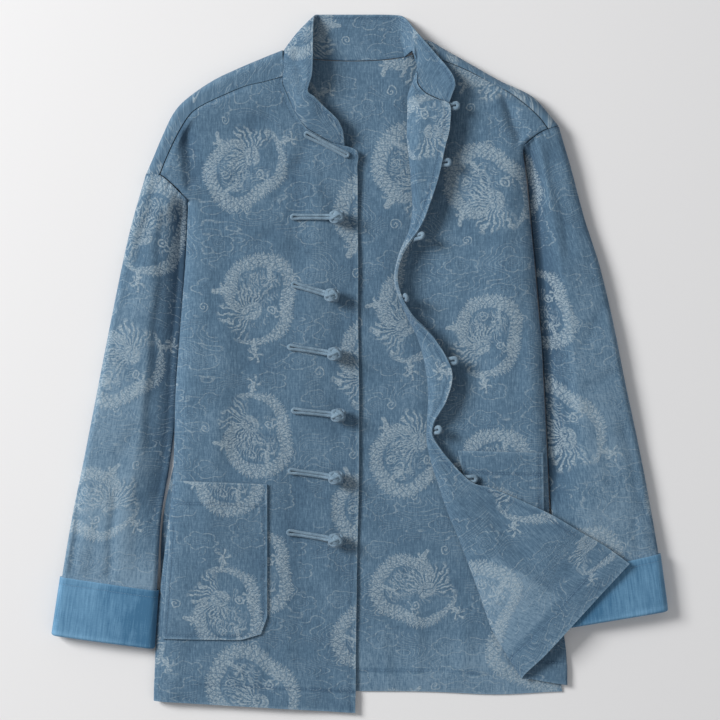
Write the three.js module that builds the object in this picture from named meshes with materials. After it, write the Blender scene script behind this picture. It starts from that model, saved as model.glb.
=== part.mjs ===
// A Chinese tang jacket of blue jacquard cotton, lying open on a flat surface with its back down.
// Millimetres. +X to the right of the view from above, +Y to the collar, +Z up, z = 0 is the surface.
// "Left" and "right" in the names are the wearer's, so the right front lies at -X.
// Every piece is a wall of cloth laid on a middle surface: rows of named points with a smooth
// curve through them, and half the wall on each side.
import * as THREE from 'three';

// Cloth and seams
const WALL = 1.5;             // body cloth
const CUFF_WALL = 1.5;        // one layer of the turned-up cuff
const COLLAR_WALL = 2.2;      // stand collar, with its stiffening
const SEAM = 0.3;             // space between pieces that are sewn together
const EDGE_GAP = 1.2;         // inset of an edge that meets another at an angle
const TABLE = WALL / 2;       // height of a middle surface that lies on the surface below

// Heights of the layers
const SHOULDER = 15;          // shoulder seam, on the layer above
const BACK_EDGE = TABLE + WALL + 2 * SEAM;   // front wall where it is sewn to the back's side
const SIDE_ROLL = 10;         // the fronts curve down to the side seam within this width
const ROLL_SHARE = 0.35;      // most of a narrow section that this curve may take
const FULL_TURN = 4;          // a side this much lower than the panel curves down fully

// Pieces on the fronts
const POCKET_WALL = 1.5;
const POCKET_EASE = 0.4;      // more space over the hollows of the panel
const POCKET_OUT = WALL / 2 + SEAM + POCKET_WALL / 2 + POCKET_EASE;
const POCKET_CORNER = 22;     // radius of the rounded lower corner
const CORNER_ROW = 0.85;      // the corner starts at these shares of the pocket's height
const CORNER_COLUMN = 0.75;   // and width
const CORNER_CUT = 0.3;       // share of the radius that a square corner gives up each way
const CORD = 1.7;             // radius of the frogs' cord
const KNOT = 8.2;             // radius of a knot button
const FROG_OUT = WALL / 2 + 0.2;   // a strap's underside above the panel's middle surface
const LOOP_REACH = 9.5;       // a loop past the left front's edge
const LOOP_HELD = 6;          // a loop's legs on the outer face
const LOOP_OUT = WALL / 2 + SEAM + CORD;
const LOOP_WIDTH = 7;         // between the legs of a loop
const LOOP_BEND = 3.5;        // the legs turn towards each other this far before the end
const LOOP_TAPER = 0.9;       // share of the width that is left there

const CLOTH = { color: 0x6888a5, roughness: 0.85, metalness: 0 };
const CUFF_CLOTH = { color: 0x4f94bd, roughness: 0.8, metalness: 0 };
const CORD_CLOTH = { color: 0x5a7c9c, roughness: 0.85, metalness: 0 };

const jacket = new THREE.Group();

function add(name, geometry, cloth) {
  const mesh = new THREE.Mesh(geometry, new THREE.MeshStandardMaterial(cloth));
  mesh.name = name;
  jacket.add(mesh);
}

// Values of a table's column at v = 0 (first row) to 1 (last row), as a smooth curve through them.
function track(table, column) {
  const at = (i) => table[Math.max(0, Math.min(table.length - 1, i))][column];
  return (v) => {
    const place = Math.max(0, Math.min(1, v)) * (table.length - 1);
    const i = Math.min(table.length - 2, Math.floor(place));
    const f = place - i;
    const slope0 = (at(i + 1) - at(i - 1)) / 2;
    const slope1 = (at(i + 2) - at(i)) / 2;
    const rise = at(i + 1) - at(i);
    return at(i) + f * slope0
      + f * f * (3 * rise - 2 * slope0 - slope1) + f * f * f * (slope0 + slope1 - 2 * rise);
  };
}

function tracks(table) {
  const columns = Object.keys(table[0]);
  const curves = Object.fromEntries(columns.map((column) => [column, track(table, column)]));
  return (v) => Object.fromEntries(columns.map((column) => [column, curves[column](v)]));
}

const rows = (columns, values) => values.map(
  (row) => Object.fromEntries(columns.map((column, i) => [column, row[i]])));

const clamp = (x, low = 0, high = 1) => Math.max(low, Math.min(high, x));
const mix = (a, b, t) => a + (b - a) * t;
const steps = (count) => Array.from({ length: count + 1 }, (_, i) => i / count);
const spread = (counts) => counts.flatMap(
  (count, part) => Array.from({ length: count }, (_, i) => (part + i / count) / counts.length),
).concat(1);

// Soft troughs (depth > 0) and ridges (depth < 0) pressed into the cloth along short lines.
function pressed(folds, x, y) {
  let drop = 0;
  for (const { x0, y0, x1, y1, width, depth } of folds) {
    const long = Math.hypot(x1 - x0, y1 - y0);
    const along = ((x - x0) * (x1 - x0) + (y - y0) * (y1 - y0)) / long;
    const across = ((x - x0) * (y1 - y0) - (y - y0) * (x1 - x0)) / long;
    const beyond = Math.max(0, -along, along - long);
    drop += depth * Math.exp(-((across / width) ** 2) - (beyond / (1.5 * width)) ** 2);
  }
  return drop;
}

// Normals of a grid of points, from the neighbours of each.
function normals(grid, closed) {
  const count = grid[0].length;
  return grid.map((row, j) => row.map((_, i) => {
    const before = closed ? (i + count - 1) % count : Math.max(0, i - 1);
    const after = closed ? (i + 1) % count : Math.min(count - 1, i + 1);
    const across = row[after].clone().sub(row[before]);
    const along = grid[Math.min(grid.length - 1, j + 1)][i].clone()
      .sub(grid[Math.max(0, j - 1)][i]);
    return across.cross(along).normalize();
  }));
}

// A wall of cloth on a middle surface. A closed grid is a tube with open ends.
function wall(grid, thickness, closed = false) {
  const side = normals(grid, closed);
  const count = grid[0].length;
  const points = [];
  const faces = [];
  const index = (layer, j, i) => (layer * grid.length + j) * count + (i % count);
  for (const sign of [1, -1]) {
    grid.forEach((row, j) => row.forEach((point, i) => {
      const moved = point.clone().addScaledVector(side[j][i], sign * thickness / 2);
      points.push(moved.x, moved.y, Math.max(0, moved.z));
    }));
  }
  const quad = (a, b, c, d) => faces.push(a, b, c, a, c, d);
  const last = grid.length - 1;
  const wide = closed ? count : count - 1;
  for (let j = 0; j < last; j += 1) {
    for (let i = 0; i < wide; i += 1) {
      quad(index(0, j, i), index(0, j, i + 1), index(0, j + 1, i + 1), index(0, j + 1, i));
      quad(index(1, j, i), index(1, j + 1, i), index(1, j + 1, i + 1), index(1, j, i + 1));
    }
    if (!closed) {
      const end = count - 1;
      quad(index(0, j, 0), index(0, j + 1, 0), index(1, j + 1, 0), index(1, j, 0));
      quad(index(0, j, end), index(1, j, end), index(1, j + 1, end), index(0, j + 1, end));
    }
  }
  for (let i = 0; i < wide; i += 1) {
    quad(index(0, 0, i), index(1, 0, i), index(1, 0, i + 1), index(0, 0, i + 1));
    quad(index(0, last, i), index(0, last, i + 1), index(1, last, i + 1), index(1, last, i));
  }
  return body(points, faces);
}

// A closed body from points and faces, turned so that its faces point out.
function body(points, faces) {
  const corner = (i) => new THREE.Vector3().fromArray(points, 3 * i);
  let volume = 0;
  for (let f = 0; f < faces.length; f += 3) {
    volume += corner(faces[f]).dot(corner(faces[f + 1]).cross(corner(faces[f + 2])));
  }
  if (volume < 0) faces.reverse();
  const geometry = new THREE.BufferGeometry();
  geometry.setAttribute('position', new THREE.Float32BufferAttribute(points, 3));
  geometry.setIndex(faces);
  geometry.computeVertexNormals();
  return geometry;
}

// Stacked rings with a fan at each end.
function lofted(rings) {
  const count = rings[0].length;
  const points = rings.flat().flatMap((point) => point.toArray());
  const faces = [];
  for (let j = 0; j < rings.length - 1; j += 1) {
    for (let i = 0; i < count; i += 1) {
      const a = j * count + i;
      const b = j * count + (i + 1) % count;
      faces.push(a, b, b + count, a, b + count, a + count);
    }
  }
  for (const [ring, turn] of [[0, 1], [rings.length - 1, 0]]) {
    const middle = points.length / 3;
    const centre = rings[ring].reduce((sum, p) => sum.add(p), new THREE.Vector3())
      .divideScalar(count);
    points.push(centre.x, centre.y, centre.z);
    for (let i = 0; i < count; i += 1) {
      const a = ring * count + i;
      const b = ring * count + (i + 1) % count;
      faces.push(middle, turn ? b : a, turn ? a : b);
    }
  }
  return body(points, faces);
}

// The shoulders. Each row pairs a point of the outline, where the back turns over, with the point
// of the shoulder seam, which lies a little way down the front. The rows run from the armhole
// to the neck.
const OVER = ['outX', 'outY', 'seamX', 'seamY'];
const RIGHT_SHOULDER = rows(OVER, [
  [-223, 198, -209, 197],
  [-216, 214, -201, 217],
  [-205, 240, -190, 240],
  [-194, 262, -178, 259],
  [-180, 277, -165, 269],
  [-154, 295, -142, 280],
  [-127, 308, -120, 289],
  [-101, 319, -99, 294],
  [-81, 327, -81, 299],
]);
const LEFT_SHOULDER = rows(OVER, [
  [207, 248, 196, 245],
  [198, 259, 187, 257],
  [182, 277, 174, 269],
  [164, 287, 158, 281],
  [146, 295, 142, 290],
  [116, 312, 111, 306],
  [88, 328, 86, 316],
  [68, 338, 70, 320],
  [57, 326, 59, 311],
]);
const rightShoulder = tracks(RIGHT_SHOULDER);
const leftShoulder = tracks(LEFT_SHOULDER);

// The armhole seams: from the outline at the shoulder's end to the body's side.
const ARMHOLE = ['x', 'y'];
const RIGHT_ARMHOLE = rows(
  ARMHOLE, [[-223, 198], [-209, 197], [-197, 188], [-186, 177], [-179, 170]]);
const LEFT_ARMHOLE = rows(ARMHOLE, [[207, 248], [196, 245], [186, 240], [177, 233], [170, 227]]);
const SHOULDER_END = 0.25;    // where the shoulder seam meets the armhole seam
const rightArmhole = tracks(RIGHT_ARMHOLE);
const leftArmhole = tracks(LEFT_ARMHOLE);

// The right front, a row for each section from the shoulder down to the hem: the side, the
// leading edge, and heights of the side's edge, the side's top, the middle and the leading edge.
const RIGHT_FRONT = rows(
  ['sideX', 'sideY', 'leadX', 'leadY', 'zEdge', 'zSide', 'zMiddle', 'zLead'], [
    [-88, 297, -81, 292, 15, 15, 15, 15],
    [-104, 293, -76, 280, 15, 15, 15, 14],
    [-142, 280, -68, 262, 15, 15.5, 15, 13],
    [-172, 265, -57, 247, 15, 16, 14, 12],
    [-192, 238, -46, 240, 15, 16, 13, 11],
    [-202, 216, -30, 231, 15, 16, 12, 9],
    [-208.5, 197, -4, 223, 15, 16, 12, 8],
    [-197, 188, -3, 205, 15, 16, 12, 6],
    [-186, 177, -2.5, 190, 12, 15, 12, 5.5],
    [-179.5, 168, -2.5, 175, 6, 14, 12, 5],
    [-180, 145, -2.5, 150, BACK_EDGE, 14, 12, 5],
    [-182, 104, -2, 105, BACK_EDGE, 15, 12, 5],
    [-187, 40, -2, 45, BACK_EDGE, 16, 12, 4.6],
    [-192, -30, -1, -30, BACK_EDGE, 17, 12, 4.6],
    [-193.5, -85, -1, -90, BACK_EDGE, 16, 12, 4.6],
    [-196, -135, -1.5, -140, BACK_EDGE, 15, 12, 4.6],
    [-204, -200, -3, -205, BACK_EDGE, 14, 11, 4.6],
    [-211, -262, -4, -270, BACK_EDGE, 12, 10, 4.6],
    [-214, -315, -4.5, -325, BACK_EDGE, 10, 9, 4.6],
    [-215, -353, -5, -366, 3, 8.5, 7.8, 4.6],
  ]);

const FOLD = ['x0', 'y0', 'x1', 'y1', 'width', 'depth'];
const RIGHT_FRONT_FOLDS = rows(FOLD, [
  [-190, 262, -176, 195, 9, 4],
  [-170, 235, -140, 120, 14, 1.5],
  [-60, 225, -70, 120, 12, 1.2],
  [-40, 190, -60, -40, 14, -1],
  [-120, 60, -130, -100, 16, 1.2],
  [-150, -60, -160, -200, 12, -1],
  [-70, -120, -60, -300, 14, 1.2],
]);

// The left front in the same way. Its leading edge rolls outwards and its lower corner is folded
// back, so each section runs from the side through a valley to the roll, and over it to the free
// edge, with the inner face up.
const LEFT_FRONT = rows(
  ['sideX', 'sideY', 'rollX', 'rollY', 'freeX', 'freeY',
    'zEdge', 'zSide', 'zMiddle', 'zValley', 'zRoll', 'zOver', 'zFree'], [
    [66, 316, 59, 303, 60, 301, 15, 15, 15, 15, 17, 18.2, 18.6],
    [85, 315, 56, 294, 60, 291, 15, 15, 14, 13, 15, 19, 21],
    [111, 306, 52, 284, 67, 281.5, 15, 15.5, 13, 11, 14, 21, 23.5],
    [142, 290, 50, 274, 79, 275, 15, 16, 13, 9, 13, 21, 25.5],
    [170, 273, 50, 264, 93, 268.5, 15, 16, 13, 9, 14, 22, 27.5],
    [196, 244.5, 49.5, 246, 93.5, 249, 15, 16, 13, 8, 14, 23, 28],
    [185, 239, 49.5, 236, 92, 238, 15, 16, 13, 8, 14, 23, 28],
    [170.5, 226, 50.5, 225, 89, 227, 10, 15, 13, 8, 14, 23, 27],
    [172, 203, 53.5, 193, 82, 195, BACK_EDGE, 15, 13, 8, 14, 22, 26],
    [175, 172, 55.5, 166, 73.5, 168, BACK_EDGE, 15, 13, 8, 14, 21, 26],
    [178, 142, 52.5, 140, 63, 142, BACK_EDGE, 15, 13, 8, 14, 20, 25],
    [181, 113, 41, 111, 43, 112, BACK_EDGE, 15, 13, 8, 13, 19, 25],
    [183.5, 83, 37.5, 83.5, 38.5, 83.5, BACK_EDGE, 15, 13, 8, 13, 19, 25],
    [186, 52, 49, 52, 51.5, 53, BACK_EDGE, 15, 13, 8, 13, 19, 25],
    [189, 25, 62, 24, 77.5, 26, BACK_EDGE, 15, 12, 8, 13, 20, 25],
    [190.5, -9, 70, -9, 95.5, -8, BACK_EDGE, 15, 12, 8, 13, 20, 24],
    [192, -38, 72, -39, 90, -38, BACK_EDGE, 15, 12, 7.5, 12, 19, 23],
    [193.5, -64, 71, -63.5, 76.5, -63.5, BACK_EDGE, 14, 11, 7, 11, 16, 20],
    [194.5, -87, 71.5, -87, 80, -83, BACK_EDGE, 13, 10, 6.5, 10, 14, 18],
    [196, -116, 81, -122, 113, -121, BACK_EDGE, 11, 9, 6, 9, 15, 17],
    [197.5, -154, 92.5, -156, 138.5, -130, BACK_EDGE, 9, 8, 5.5, 8, 14.5, 17],
    [199.5, -196, 108, -194, 170, -143.5, BACK_EDGE, 8, 7, 5, 7.5, 13.5, 17.5],
    [205, -240, 125, -240, 200.5, -158, BACK_EDGE, 7, 6.5, 5, 8, 14, 19.5],
    [212, -276, 138.5, -278, 231, -176, BACK_EDGE, 6.5, 6, 5, 8.5, 15, 21],
    [216.5, -306, 155.5, -307, 256, -190.5, BACK_EDGE, 6, 6, 5, 9, 16.5, 21.5],
    [218, -337, 170, -329, 280, -208, 3.4, 5.5, 5.5, 5, 9, 17.5, 21.5],
  ]);
const LEFT_FRONT_FOLDS = rows(FOLD, [
  [147, 296, 170, 222, 7, 4.5],
  [120, 270, 110, 180, 14, 1.2],
  [150, 190, 140, 60, 15, -1],
  [110, 130, 120, 0, 14, 1.2],
  [160, 20, 168, -80, 12, 1],
]);
const FLAP_FOLDS = rows(FOLD, [
  [150, -180, 200, -235, 12, 1.2],
  [120, -150, 160, -260, 10, -1],
]);

const smooth = (points) => new THREE.CatmullRomCurve3(points, false, 'centripetal');
const point = (x, y, z) => new THREE.Vector3(x, y, z);

// A curve through a section's points at v; u runs from the side (0) to the leading edge (1).
// turned: how far the side curves down, from 0 at the shoulder seam to 1 at the side seam.
function sideOf(row, towardX, towardY) {
  const turned = clamp((row.zSide - row.zEdge) / FULL_TURN);
  const far = Math.hypot(towardX - row.sideX, towardY - row.sideY);
  const inX = (towardX - row.sideX) / far;
  const inY = (towardY - row.sideY) / far;
  const at = (inset, z) => point(row.sideX + inX * inset, row.sideY + inY * inset, z);
  const roll = Math.min(SIDE_ROLL, ROLL_SHARE * far);
  return [
    at(mix(EDGE_GAP, 0.3 * roll, turned), row.zEdge),
    at(mix(0.4 * roll, 0, turned), mix(row.zEdge, row.zSide, 0.5)),
    at(roll, row.zSide),
  ];
}

// The side of a front's row: on the shoulder seam, then the armhole seam, then the side seam.
function seamed(table, shoulder, armhole, lastShoulder, lastArmhole) {
  const free = tracks(table);
  return (v) => {
    const row = free(v);
    const place = v * (table.length - 1);
    if (place < lastShoulder) {
      const { seamX, seamY } = shoulder(1 - place / lastShoulder);
      return { ...row, sideX: seamX, sideY: seamY };
    }
    if (place < lastArmhole) {
      const part = (place - lastShoulder) / (lastArmhole - lastShoulder);
      const { x, y } = armhole(mix(SHOULDER_END, 1, part));
      return { ...row, sideX: x, sideY: y };
    }
    return row;
  };
}

const rightFrontRow = seamed(RIGHT_FRONT, rightShoulder, rightArmhole, 6, 9);
function rightFront(u, v) {
  const row = rightFrontRow(v);
  const side = sideOf(row, row.leadX, row.leadY);
  const between = (t, z) => point(mix(row.sideX, row.leadX, t), mix(row.sideY, row.leadY, t), z);
  const place = smooth([
    ...side,
    between(0.5, row.zMiddle),
    between(0.82, mix(row.zMiddle, row.zLead, 0.6)),
    between(1, row.zLead),
  ]).getPoint(u);
  const loose = clamp((u - 0.3) / 0.12) * clamp((1 - u) / 0.12) * clamp(v / 0.06);
  place.z -= pressed(RIGHT_FRONT_FOLDS, place.x, place.y) * loose;
  return place;
}

const leftFrontRow = seamed(LEFT_FRONT, leftShoulder, leftArmhole, 5, 7);
function leftFront(u, v) {
  const row = leftFrontRow(v);
  const side = sideOf(row, row.rollX, row.rollY);
  const lower = (t, z) => point(mix(row.sideX, row.rollX, t), mix(row.sideY, row.rollY, t), z);
  const upper = (t, z) => point(mix(row.rollX, row.freeX, t), mix(row.rollY, row.freeY, t), z);
  const place = smooth([
    ...side,
    lower(0.45, row.zMiddle),
    lower(0.8, row.zValley),
    lower(1, row.zRoll),
    upper(0.22, row.zOver),
    upper(0.6, mix(row.zOver, row.zFree, 0.5)),
    upper(1, row.zFree),
  ]).getPoint(u);
  const low = clamp((u - 0.2) / 0.08) * clamp((0.56 - u) / 0.08) * clamp(v / 0.06);
  const flap = clamp((u - 0.78) / 0.08) * clamp((1 - u) / 0.05) * clamp((v - 0.76) / 0.05);
  place.z -= pressed(LEFT_FRONT_FOLDS, place.x, place.y) * low;
  place.z -= pressed(FLAP_FOLDS, place.x, place.y) * flap;
  return place;
}

// A grid of a surface's points, a row for each v.
const gridOf = (surface, us, vs) => vs.map((v) => us.map((u) => surface(u, v)));

add('front_right', wall(gridOf(rightFront, spread([2, 3, 4, 3, 3]), steps(32)), WALL), CLOTH);
add('front_left', wall(gridOf(leftFront, spread([2, 2, 3, 2, 4, 4, 3, 3]), steps(36)), WALL), CLOTH);

// The back. Its columns run from the hem to the neck or, turned over the shoulder, to the
// shoulder seam. The rows here are its sides: the side seams, and above them the armholes.
const SIDE = ['x', 'y'];
const RIGHT_SIDE = rows(SIDE, [
  [-209, -344], [-206, -290], [-202, -230], [-193, -150], [-189, -70], [-186, 10], [-180, 90],
  [-177, 150], [-180, 172], [-197, 189], [-209, 197], [-216, 198],
]);
const LEFT_SIDE = rows(SIDE, [
  [212, -344], [205, -290], [198, -230], [194, -150], [190, -70], [185, 10], [180, 90],
  [173, 165], [167.5, 219], [175.5, 235], [184.5, 242], [199, 249.5],
]);
const HEM = rows(['y'], [[-345], [-344], [-344], [-343.5], [-344], [-347], [-344]]);
const NECK = rows(
  ['x', 'y'], [[-80, 321], [-60, 319.5], [-30, 317.5], [0, 317], [30, 318.5], [52, 322]]);
const TURN = (SHOULDER - TABLE) / 2;       // radius of the turn over the shoulder

const rightSide = tracks(RIGHT_SIDE);
const leftSide = tracks(LEFT_SIDE);
const hem = tracks(HEM);
const neck = tracks(NECK);

// The end of the column at c: 0 to 1 right shoulder, 1 to 2 neck, 2 to 3 left shoulder. cut is how
// much of the turned part the neckline takes away.
const NECK_TURN = 0.06;       // the shoulders' turn runs this far along the neck
const NECK_SLOPE = 50;        // inward shift of its columns, for each 1 of c
function columnEnd(c) {
  if (c <= 1) return { ...rightShoulder(c), turned: 1, cut: 0 };
  if (c >= 2) return { ...leftShoulder(3 - c), turned: 1, cut: 0 };
  const { x, y } = neck(c - 1);
  const near = Math.min(c - 1, 2 - c);
  if (near > NECK_TURN) return { outX: x, outY: y, seamX: x, seamY: y, turned: 0, cut: 0 };
  const { outX, outY, seamX, seamY } = c < 1.5 ? rightShoulder(1) : leftShoulder(1);
  const shift = (c < 1.5 ? 1 : -1) * NECK_SLOPE * near;
  return {
    outX: outX + shift, outY, seamX: seamX + shift, seamY, turned: 1, cut: near / NECK_TURN,
  };
}

// A point of the back, so far from the end of its column.
function back(c, distance) {
  const end = columnEnd(c);
  const reach = Math.hypot(end.seamX - end.outX, end.seamY - end.outY) || 1;
  const toX = (end.seamX - end.outX) / reach;
  const toY = (end.seamY - end.outY) / reach;
  const over = Math.max(0, reach - TURN) * end.turned;
  const round = Math.PI * TURN * end.turned;
  const fromEnd = distance + end.cut * (over + round);
  if (fromEnd < over) {
    return point(end.seamX - toX * fromEnd, end.seamY - toY * fromEnd, SHOULDER);
  }
  const footX = end.outX + toX * TURN * end.turned;
  const footY = end.outY + toY * TURN * end.turned;
  if (fromEnd < over + round) {
    const angle = (fromEnd - over) / TURN;
    const out = TURN * Math.sin(angle);
    return point(footX - toX * out, footY - toY * out, TABLE + TURN + TURN * Math.cos(angle));
  }
  // On the surface below: from the turn's foot down to the hem, between the two sides.
  const hemY = hem(c / 3);
  const v = clamp(1 - (fromEnd - over - round) / (footY - hemY.y));
  const [right, left] = [rightSide(v), leftSide(v)];
  const [rightTop, leftTop] = [rightSide(1), leftSide(1)];
  const top = (footX - rightTop.x) / (leftTop.x - rightTop.x);
  const part = mix(c / 3, top, v ** 2);
  const rise = mix(hemY.y, footY, v);
  const evenly = mix(
    mix(rightSide(0).y, leftSide(0).y, part), mix(rightTop.y, leftTop.y, part), v);
  return point(mix(right.x, left.x, part), rise + mix(right.y, left.y, part) - evenly, TABLE);
}

const NECK_COLUMNS = [0.02, 0.04, 0.06, 0.075, 0.28, 0.5, 0.72, 0.925, 0.94, 0.96, 0.98];
const COLUMNS = [
  ...steps(8), ...NECK_COLUMNS.map((t) => 1 + t), ...steps(8).map((t) => 2 + t),
];
const FROM_END = [
  SEAM, 6, 12, 16, 20, 24, 28, 32, 37, 44, 60, 90, 130, 180, 240, 310, 380, 460, 540, 900];
add('back', wall(FROM_END.map((d) => COLUMNS.map((c) => back(c, d))), WALL), CLOTH);

// The sleeves: flattened tubes. Each row has the outer and the inner fold of a section, the
// height of its middle surface above the surface below, and the height of the tube.
const TUBE = ['outX', 'outY', 'inX', 'inY', 'base', 'high'];
const LAID = SHOULDER - TABLE;
const CUFF_EASE = 0.2;        // more space where the tube turns
const CUFF_OUT = WALL / 2 + SEAM + CUFF_WALL / 2 + CUFF_EASE;   // from the sleeve's middle surface
const CUFFED = CUFF_OUT + CUFF_WALL / 2;                        // the sleeve's base inside the cuff
const RIGHT_SLEEVE = rows(TUBE, [
  [-223, 197, -184, 169, TABLE, LAID],
  [-234, 161, -183.5, 140, TABLE, LAID],
  [-243, 126, -185.5, 100, TABLE, 14],
  [-254, 74, -188.5, 55, TABLE, 14],
  [-266, 14, -193.5, -5, TABLE, 13],
  [-278, -48, -196, -60, TABLE, 13],
  [-289, -104, -202, -108, TABLE, 12],
  [-301, -163, -210, -160, TABLE, 11.5],
  [-311, -223, -213, -237, CUFFED, 10.5],
  [-320, -282, -217, -296, CUFFED, 10.5],
]);
const LEFT_SLEEVE = rows(TUBE, [
  [207, 247, 173, 226, TABLE, LAID],
  [219, 208, 177, 188, TABLE, LAID],
  [234, 152, 181, 140, TABLE, 14],
  [250, 102, 186, 88, TABLE, 14],
  [264, 44, 190.5, 35, TABLE, 13],
  [276, -16, 194, -20, TABLE, 13],
  [288, -72, 197, -78, TABLE, 12],
  [300, -132, 200, -142, TABLE, 11.5],
  [311.5, -199, 207.5, -222, CUFFED, 10.5],
  [319.5, -257, 218, -274, CUFFED, 10.5],
]);
const CUFF_ROWS = 1 / (RIGHT_SLEEVE.length - 1);           // of the sleeve's rows

// Places round a flattened tube: along the bottom, round the outer fold, back over the top and
// round the inner fold. Each is a distance from the outer fold, as a share of the straight part,
// with the angle of the turn.
function ringPlaces(flat, turn, dome) {
  return [
    ...steps(flat).map((t) => ({ share: 1 - t, angle: 0, dome: 0 })),
    ...steps(turn).slice(1).map((t) => ({ share: 0, angle: t, dome: 0 })),
    ...steps(flat + 1).slice(1).map((t) => ({ share: t, angle: 1, dome: dome * 4 * t * (1 - t) })),
    ...steps(turn).slice(1, -1).map((t) => ({ share: 1, angle: 1 + t, dome: 0 })),
  ];
}

const HEAD = 0.1;             // the sleeve follows the armhole seam down to here
function tube(table, armhole, shift) {
  const row = tracks(table);
  return ({ share, angle, dome }, v) => {
    const { outX, outY, inX, inY, base, high } = row(v);
    const wide = Math.hypot(inX - outX, inY - outY);
    const radius = high / 2;
    const swing = Math.sin(Math.PI * angle) * radius;
    const along = (radius + share * (wide - 2 * radius) - swing) / wide;
    const z = base + radius * (1 - Math.cos(Math.PI * angle)) + dome;
    const seam = armhole(along);
    const near = clamp(1 - v / HEAD);
    return point(
      mix(mix(outX, inX, along), seam.x + shift.x, near),
      mix(mix(outY, inY, along), seam.y + shift.y, near),
      z,
    );
  };
}

const RING = ringPlaces(4, 4, 1);
for (const { name, table, armhole, shift } of [
  { name: 'right', table: RIGHT_SLEEVE, armhole: rightArmhole, shift: { x: -1.5, y: -1 } },
  { name: 'left', table: LEFT_SLEEVE, armhole: leftArmhole, shift: { x: 1.2, y: -1.9 } },
]) {
  const surface = tube(table, armhole, shift);
  const lengths = [0, 0.03, 0.07, 0.12, 0.2, 0.3, 0.4, 0.5, 0.6, 0.7, 0.8, 0.86, 0.9, 0.95, 0.99];
  const grid = lengths.map((v) => RING.map((place) => surface(place, v)));
  add(`sleeve_${name}`, wall(grid, WALL, true), CLOTH);

  // The cuff is the sleeve's end turned up: a band outside it, round its end and a little inside.
  const outward = Math.sign(surface(RING[0], 1).x);
  const out = (v, offset, ahead = 0) => {
    const step = CUFF_ROWS / 8;
    const near = [v - step, v, v + step].map((w) => RING.map((place) => surface(place, w)));
    const side = normals(near, true)[1];
    return near[1].map((place, i) => {
      const along = surface(RING[i], 1).sub(surface(RING[i], 1 - CUFF_ROWS)).normalize();
      return place.clone().addScaledVector(side[i], outward * offset)
        .addScaledVector(along, ahead);
    });
  };
  const end = 1 - CUFF_ROWS * 0.02;
  const cuff = [
    ...[1, 0.75, 0.5, 0.25, 0.1].map((t) => out(1 - CUFF_ROWS * t, CUFF_OUT)),
    ...steps(4).map((t) => {
      const angle = Math.PI * t;
      return out(end, CUFF_OUT * Math.cos(angle), CUFF_OUT * Math.sin(angle));
    }),
    out(1 - CUFF_ROWS * 0.2, -CUFF_OUT),
  ];
  add(`cuff_${name}`, wall(cuff, CUFF_WALL, true), CUFF_CLOTH);
}

// The stand collar. Its lower edge follows the neckline of the right front (v of its leading
// edge), the back (column c) and the left front; each row gives the point of its upper edge.
const COLLAR = rows(['on', 'at', 'topX', 'topY', 'topZ', 'lift'], [
  ['right', 5.5, -17.5, 243, 15, 0],
  ['right', 5, -24, 255, 17, 0],
  ['right', 4, -38, 268, 19, 0],
  ['right', 3, -47, 277, 21, 0],
  ['right', 2, -54.5, 284, 22, 0],
  ['right', 1, -50, 300, 23, 0],
  ['right', 0.2, -49, 322, 22, 0],
  ['back', 1, -49, 340, 19, 0],
  ['back', 1.02, -48.5, 356, 14, 0],
  ['back', 1.04, -47.5, 363, 8, 0],
  ['back', 1.06, -45, 365.5, 3, 0],
  ['back', 1.1, -40, 366, 1.1, 0],
  ['back', 1.28, -24, 366, 1.1, 0],
  ['back', 1.5, 0, 366, 1.1, 0],
  ['back', 1.72, 22, 366, 1.1, 0],
  ['back', 1.9, 38, 365.5, 1.1, 0],
  ['back', 1.94, 44, 364, 4, 0],
  ['back', 1.96, 49, 359, 9, 2],
  ['back', 1.98, 54, 352, 14, 3],
  ['back', 2, 62, 342, 18.5, 2.6],
  ['left', 0.2, 71, 331, 21.5, 2.2],
  ['left', 1, 80, 320, 24.5, 0.8],
  ['left', 2, 90, 308, 27.5, 0],
  ['left', 3, 97, 297, 29.5, 0],
  ['left', 3.9, 99, 288, 30, 0],
]);
const COLLAR_GAP = 1.8;
function neckline({ on, at }) {
  if (on === 'back') return back(at, 0);
  if (on === 'right') return rightFront(1, at / (RIGHT_FRONT.length - 1));
  return leftFront(1, at / (LEFT_FRONT.length - 1));
}
const collar = COLLAR.map((row) => {
  const top = point(row.topX, row.topY, row.topZ);
  const seam = neckline(row);
  seam.z = Math.max(seam.z, COLLAR_WALL / 2) + row.lift;
  seam.addScaledVector(top.clone().sub(seam).normalize(), COLLAR_GAP);
  return steps(3).map((t) => seam.clone().lerp(top, t));
});
add('collar', wall(collar, COLLAR_WALL), CLOTH);

// A place on a front, from its plan position: the section first, then the point along it.
function placeOn(surface, x, y, [low, high]) {
  let u = (low + high) / 2;
  let v = 0.5;
  for (let turn = 0; turn < 8; turn += 1) {
    let [from, to] = [0, 1];
    for (let i = 0; i < 16; i += 1) {
      v = (from + to) / 2;
      if (surface(u, v).y > y) from = v; else to = v;
    }
    const rising = surface(high, v).x > surface(low, v).x;
    [from, to] = [low, high];
    for (let i = 0; i < 16; i += 1) {
      u = (from + to) / 2;
      if ((surface(u, v).x < x) === rising) from = u; else to = u;
    }
  }
  return { u, v };
}

// A point of a surface moved out along its normal.
function outFrom(surface, { u, v }, offset) {
  const e = 0.004;
  const across = surface(Math.min(1, u + e), v).sub(surface(Math.max(0, u - e), v));
  const along = surface(u, Math.min(1, v + e)).sub(surface(u, Math.max(0, v - e)));
  const side = across.cross(along).normalize();
  const onTop = surface(u, v);
  return onTop.addScaledVector(side, side.z < 0 ? -offset : offset);
}

const POCKET_COLUMNS = [0, 0.04, 0.08, 0.13, 0.2, 0.35, 0.55, 0.75, 0.88, 1];
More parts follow.
